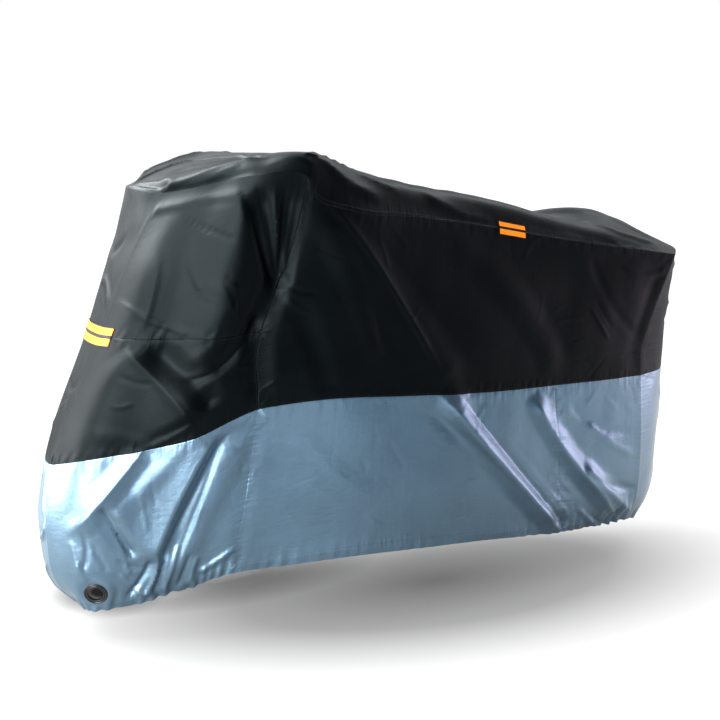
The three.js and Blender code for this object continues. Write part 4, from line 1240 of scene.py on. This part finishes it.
# Softboxes: name, place, what it is aimed at, width and height in metres, watts and colour.
WHITE = (1.0, 1.0, 1.0)
LAVENDER = (1.0, 0.78, 0.95)
LIGHTS = (
    ("key_softbox", (-3.2, -1.85, 0.35), (-0.75, -0.22, -0.2), 2.0, 2.4, 195, WHITE),
    ("nose_softbox", (-3.4, 1.3, -0.55), (-1.0, 0.0, -0.85), 1.6, 1.3, 85, WHITE),
    ("crown_softbox", (-2.5, 1.2, 1.9), (-0.65, -0.2, 0.0), 3.0, 2.4, 640, WHITE),
    ("ridge_card", (-2.0, -0.85, -1.05), (-0.8, -0.25, -0.85), 1.2, 0.5, 6, WHITE),
    ("front_card", (-0.45, -1.45, -1.05), (-0.45, -0.3, -0.6), 1.3, 0.4, 1.4, WHITE),
    ("tail_softbox", (2.8, 0.3, 3.0), (0.6, -0.1, -0.2), 1.6, 1.6, 95, WHITE),
    ("rear_softbox", (3.8, -0.7, -0.6), (0.8, -0.1, -0.8), 1.6, 1.0, 16, LAVENDER),
)


def floor_paper(nodes):
    """Pale paper that glows: white where the camera sees it, dimmer for other rays and brighter
    towards the rear. The cover's soft shadow is painted into its glow, and a dark spot is painted
    into its colour, gloss and glow.
    """
    place = nodes.add("ShaderNodeTexCoord").outputs["Object"]

    def shadow(offset, scale, greys):
        stops = [(at, (grey,) * 3) for at, grey in greys]
        return nodes.ramp(nodes.reach(place, offset, scale), stops)

    # A dark spot of painted shadow, which darkens the floor's colour, gloss and glow.
    eyelet_shadow = shadow(*EYELET_PAINTED_SHADOW)
    # The cover's and the nose's soft shadows, painted into the floor's glow.
    glow_with_painted_shadow = nodes.mix("MULTIPLY", 1, shadow(*COVER_PAINTED_SHADOW), shadow(*NOSE_PAINTED_SHADOW))
    # Painted glow: for rays other than the camera's the floor glows, brighter towards the rear.
    rear = nodes.math("SUBTRACT", nodes.split(place)["X"], 0.8)
    rear = nodes.math("MULTIPLY", rear, 2.5, True)
    painted_glow = nodes.math("ADD", nodes.math("MULTIPLY", rear, 0.4), 0.28)
    seen = nodes.add("ShaderNodeLightPath").outputs["Is Camera Ray"]
    paper = nodes.tones(nodes.noise(place, scale=3.0), 0.08, 0.085)
    nodes.surface(Base_Color=nodes.mix("MULTIPLY", 1, paper, eyelet_shadow), Roughness=0.8,
                  Specular_IOR_Level=nodes.math("MULTIPLY", eyelet_shadow, 0.2),
                  Emission_Color=nodes.mix("MULTIPLY", 1, glow_with_painted_shadow, eyelet_shadow),
                  Emission_Strength=nodes.math("MAXIMUM", seen, painted_glow))


def studio():
    """Bright walls left, behind and above, and a dark room on the camera's right without glare."""
    world = bpy.data.worlds.new("studio")
    nodes = Nodes(world)
    direction = nodes.add("ShaderNodeTexCoord").outputs["Generated"]
    toward = nodes.add("ShaderNodeVectorMath", {0: direction, 1: DARK_SIDE},
                       operation="DOT_PRODUCT").outputs["Value"]
    share = nodes.add("ShaderNodeMath", {0: toward, 1: 0.5, 2: 0.5}, operation="MULTIPLY_ADD")
    below = nodes.math("MULTIPLY", nodes.split(direction)["Z"], -1.0)
    greys = nodes.mix("LIGHTEN", 1, nodes.ramp(share.outputs[0], WALLS), nodes.ramp(below, BELOW))
    walls = nodes.add("ShaderNodeBackground", {"Color": greys, "Strength": WALL_LIGHT})
    backdrop = nodes.add("ShaderNodeBackground", {"Color": (1, 1, 1, 1)})
    seen = nodes.add("ShaderNodeLightPath").outputs["Is Camera Ray"]
    both = nodes.add("ShaderNodeMixShader", {0: seen, 1: walls.outputs[0], 2: backdrop.outputs[0]})
    nodes.add("ShaderNodeOutputWorld", {"Surface": both.outputs[0]})
    bpy.context.scene.world = world


def softbox(name, place, target, width, height, power, colour):
    clear_selection()
    bpy.ops.object.light_add(type="AREA", location=place)
    lamp = bpy.context.active_object
    lamp.name = name
    lamp.data.shape = "RECTANGLE"
    lamp.data.size = width
    lamp.data.size_y = height
    lamp.data.energy = power
    lamp.data.color = colour
    aim = Vector(target) - Vector(place)
    lamp.rotation_euler = aim.to_track_quat("-Z", "Y").to_euler()


def photo_camera():
    bpy.ops.object.camera_add(location=CAMERA_PLACE)
    camera = bpy.context.active_object
    camera.name = "photo_camera"
    camera.data.sensor_width = SENSOR
    camera.data.lens = SENSOR * FOCAL_PIXELS / PHOTO_SIDE
    down = math.atan((PHOTO_SIDE / 2 - HORIZON_ROW) / FOCAL_PIXELS)
    camera.rotation_euler = (math.pi / 2 - down, 0, -math.radians(CAMERA_TURN))
    bpy.context.scene.camera = camera


class COVER_OT_stage(bpy.types.Operator):
    """Make the floor, lights and camera"""

    bl_idname = "cover.stage"
    bl_label = "Stage"

    def execute(self, context):
        clear_selection()
        turn = -math.radians(CAMERA_TURN)
        back = Vector((-math.sin(turn), math.cos(turn), 0)) * FLOOR_HALF
        place = Vector((*FLOOR_EDGE, GROUND)) + back
        bpy.ops.mesh.primitive_plane_add(size=2 * FLOOR_HALF, location=place, rotation=(0, 0, turn))
        bpy.ops.object.transform_apply(location=True, rotation=True)
        floor = bpy.context.active_object
        floor.name = "floor"
        floor.data.materials.append(new_material(floor_paper))
        studio()
        for row in LIGHTS:
            softbox(*row)
        photo_camera()
        context.scene.view_settings.view_transform = "Standard"
        return {"FINISHED"}


class COVER_PT_panel(bpy.types.Panel):
    """Sizes, colours and pieces of the cover"""

    bl_idname = "COVER_PT_panel"
    bl_label = "Motorcycle cover"
    bl_space_type = "VIEW_3D"
    bl_region_type = "UI"
    bl_category = "Cover"

    def draw(self, context):
        for name in ("black", "silver", "tape", "gather_depth", "pucker_depth"):
            self.layout.prop(context.scene.cover, name)
        for operator in OPERATORS:
            self.layout.operator(operator.bl_idname)


OPERATORS = (COVER_OT_stage, COVER_OT_gusset, COVER_OT_left_panels, COVER_OT_right_panels,
             COVER_OT_eyelets, COVER_OT_tapes)
CLASSES = (CoverSettings, *OPERATORS, COVER_PT_panel)


def register():
    for item in CLASSES:
        bpy.utils.register_class(item)
    bpy.types.Scene.cover = PointerProperty(type=CoverSettings)


def unregister():
    del bpy.types.Scene.cover
    for item in reversed(CLASSES):
        bpy.utils.unregister_class(item)


def main():
    register()
    bpy.ops.cover.stage()
    bpy.ops.cover.gusset()
    bpy.ops.cover.left_panels()
    bpy.ops.cover.right_panels()
    bpy.ops.cover.eyelets()
    bpy.ops.cover.tapes()
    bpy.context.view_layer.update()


if __name__ == "__main__":
    main()
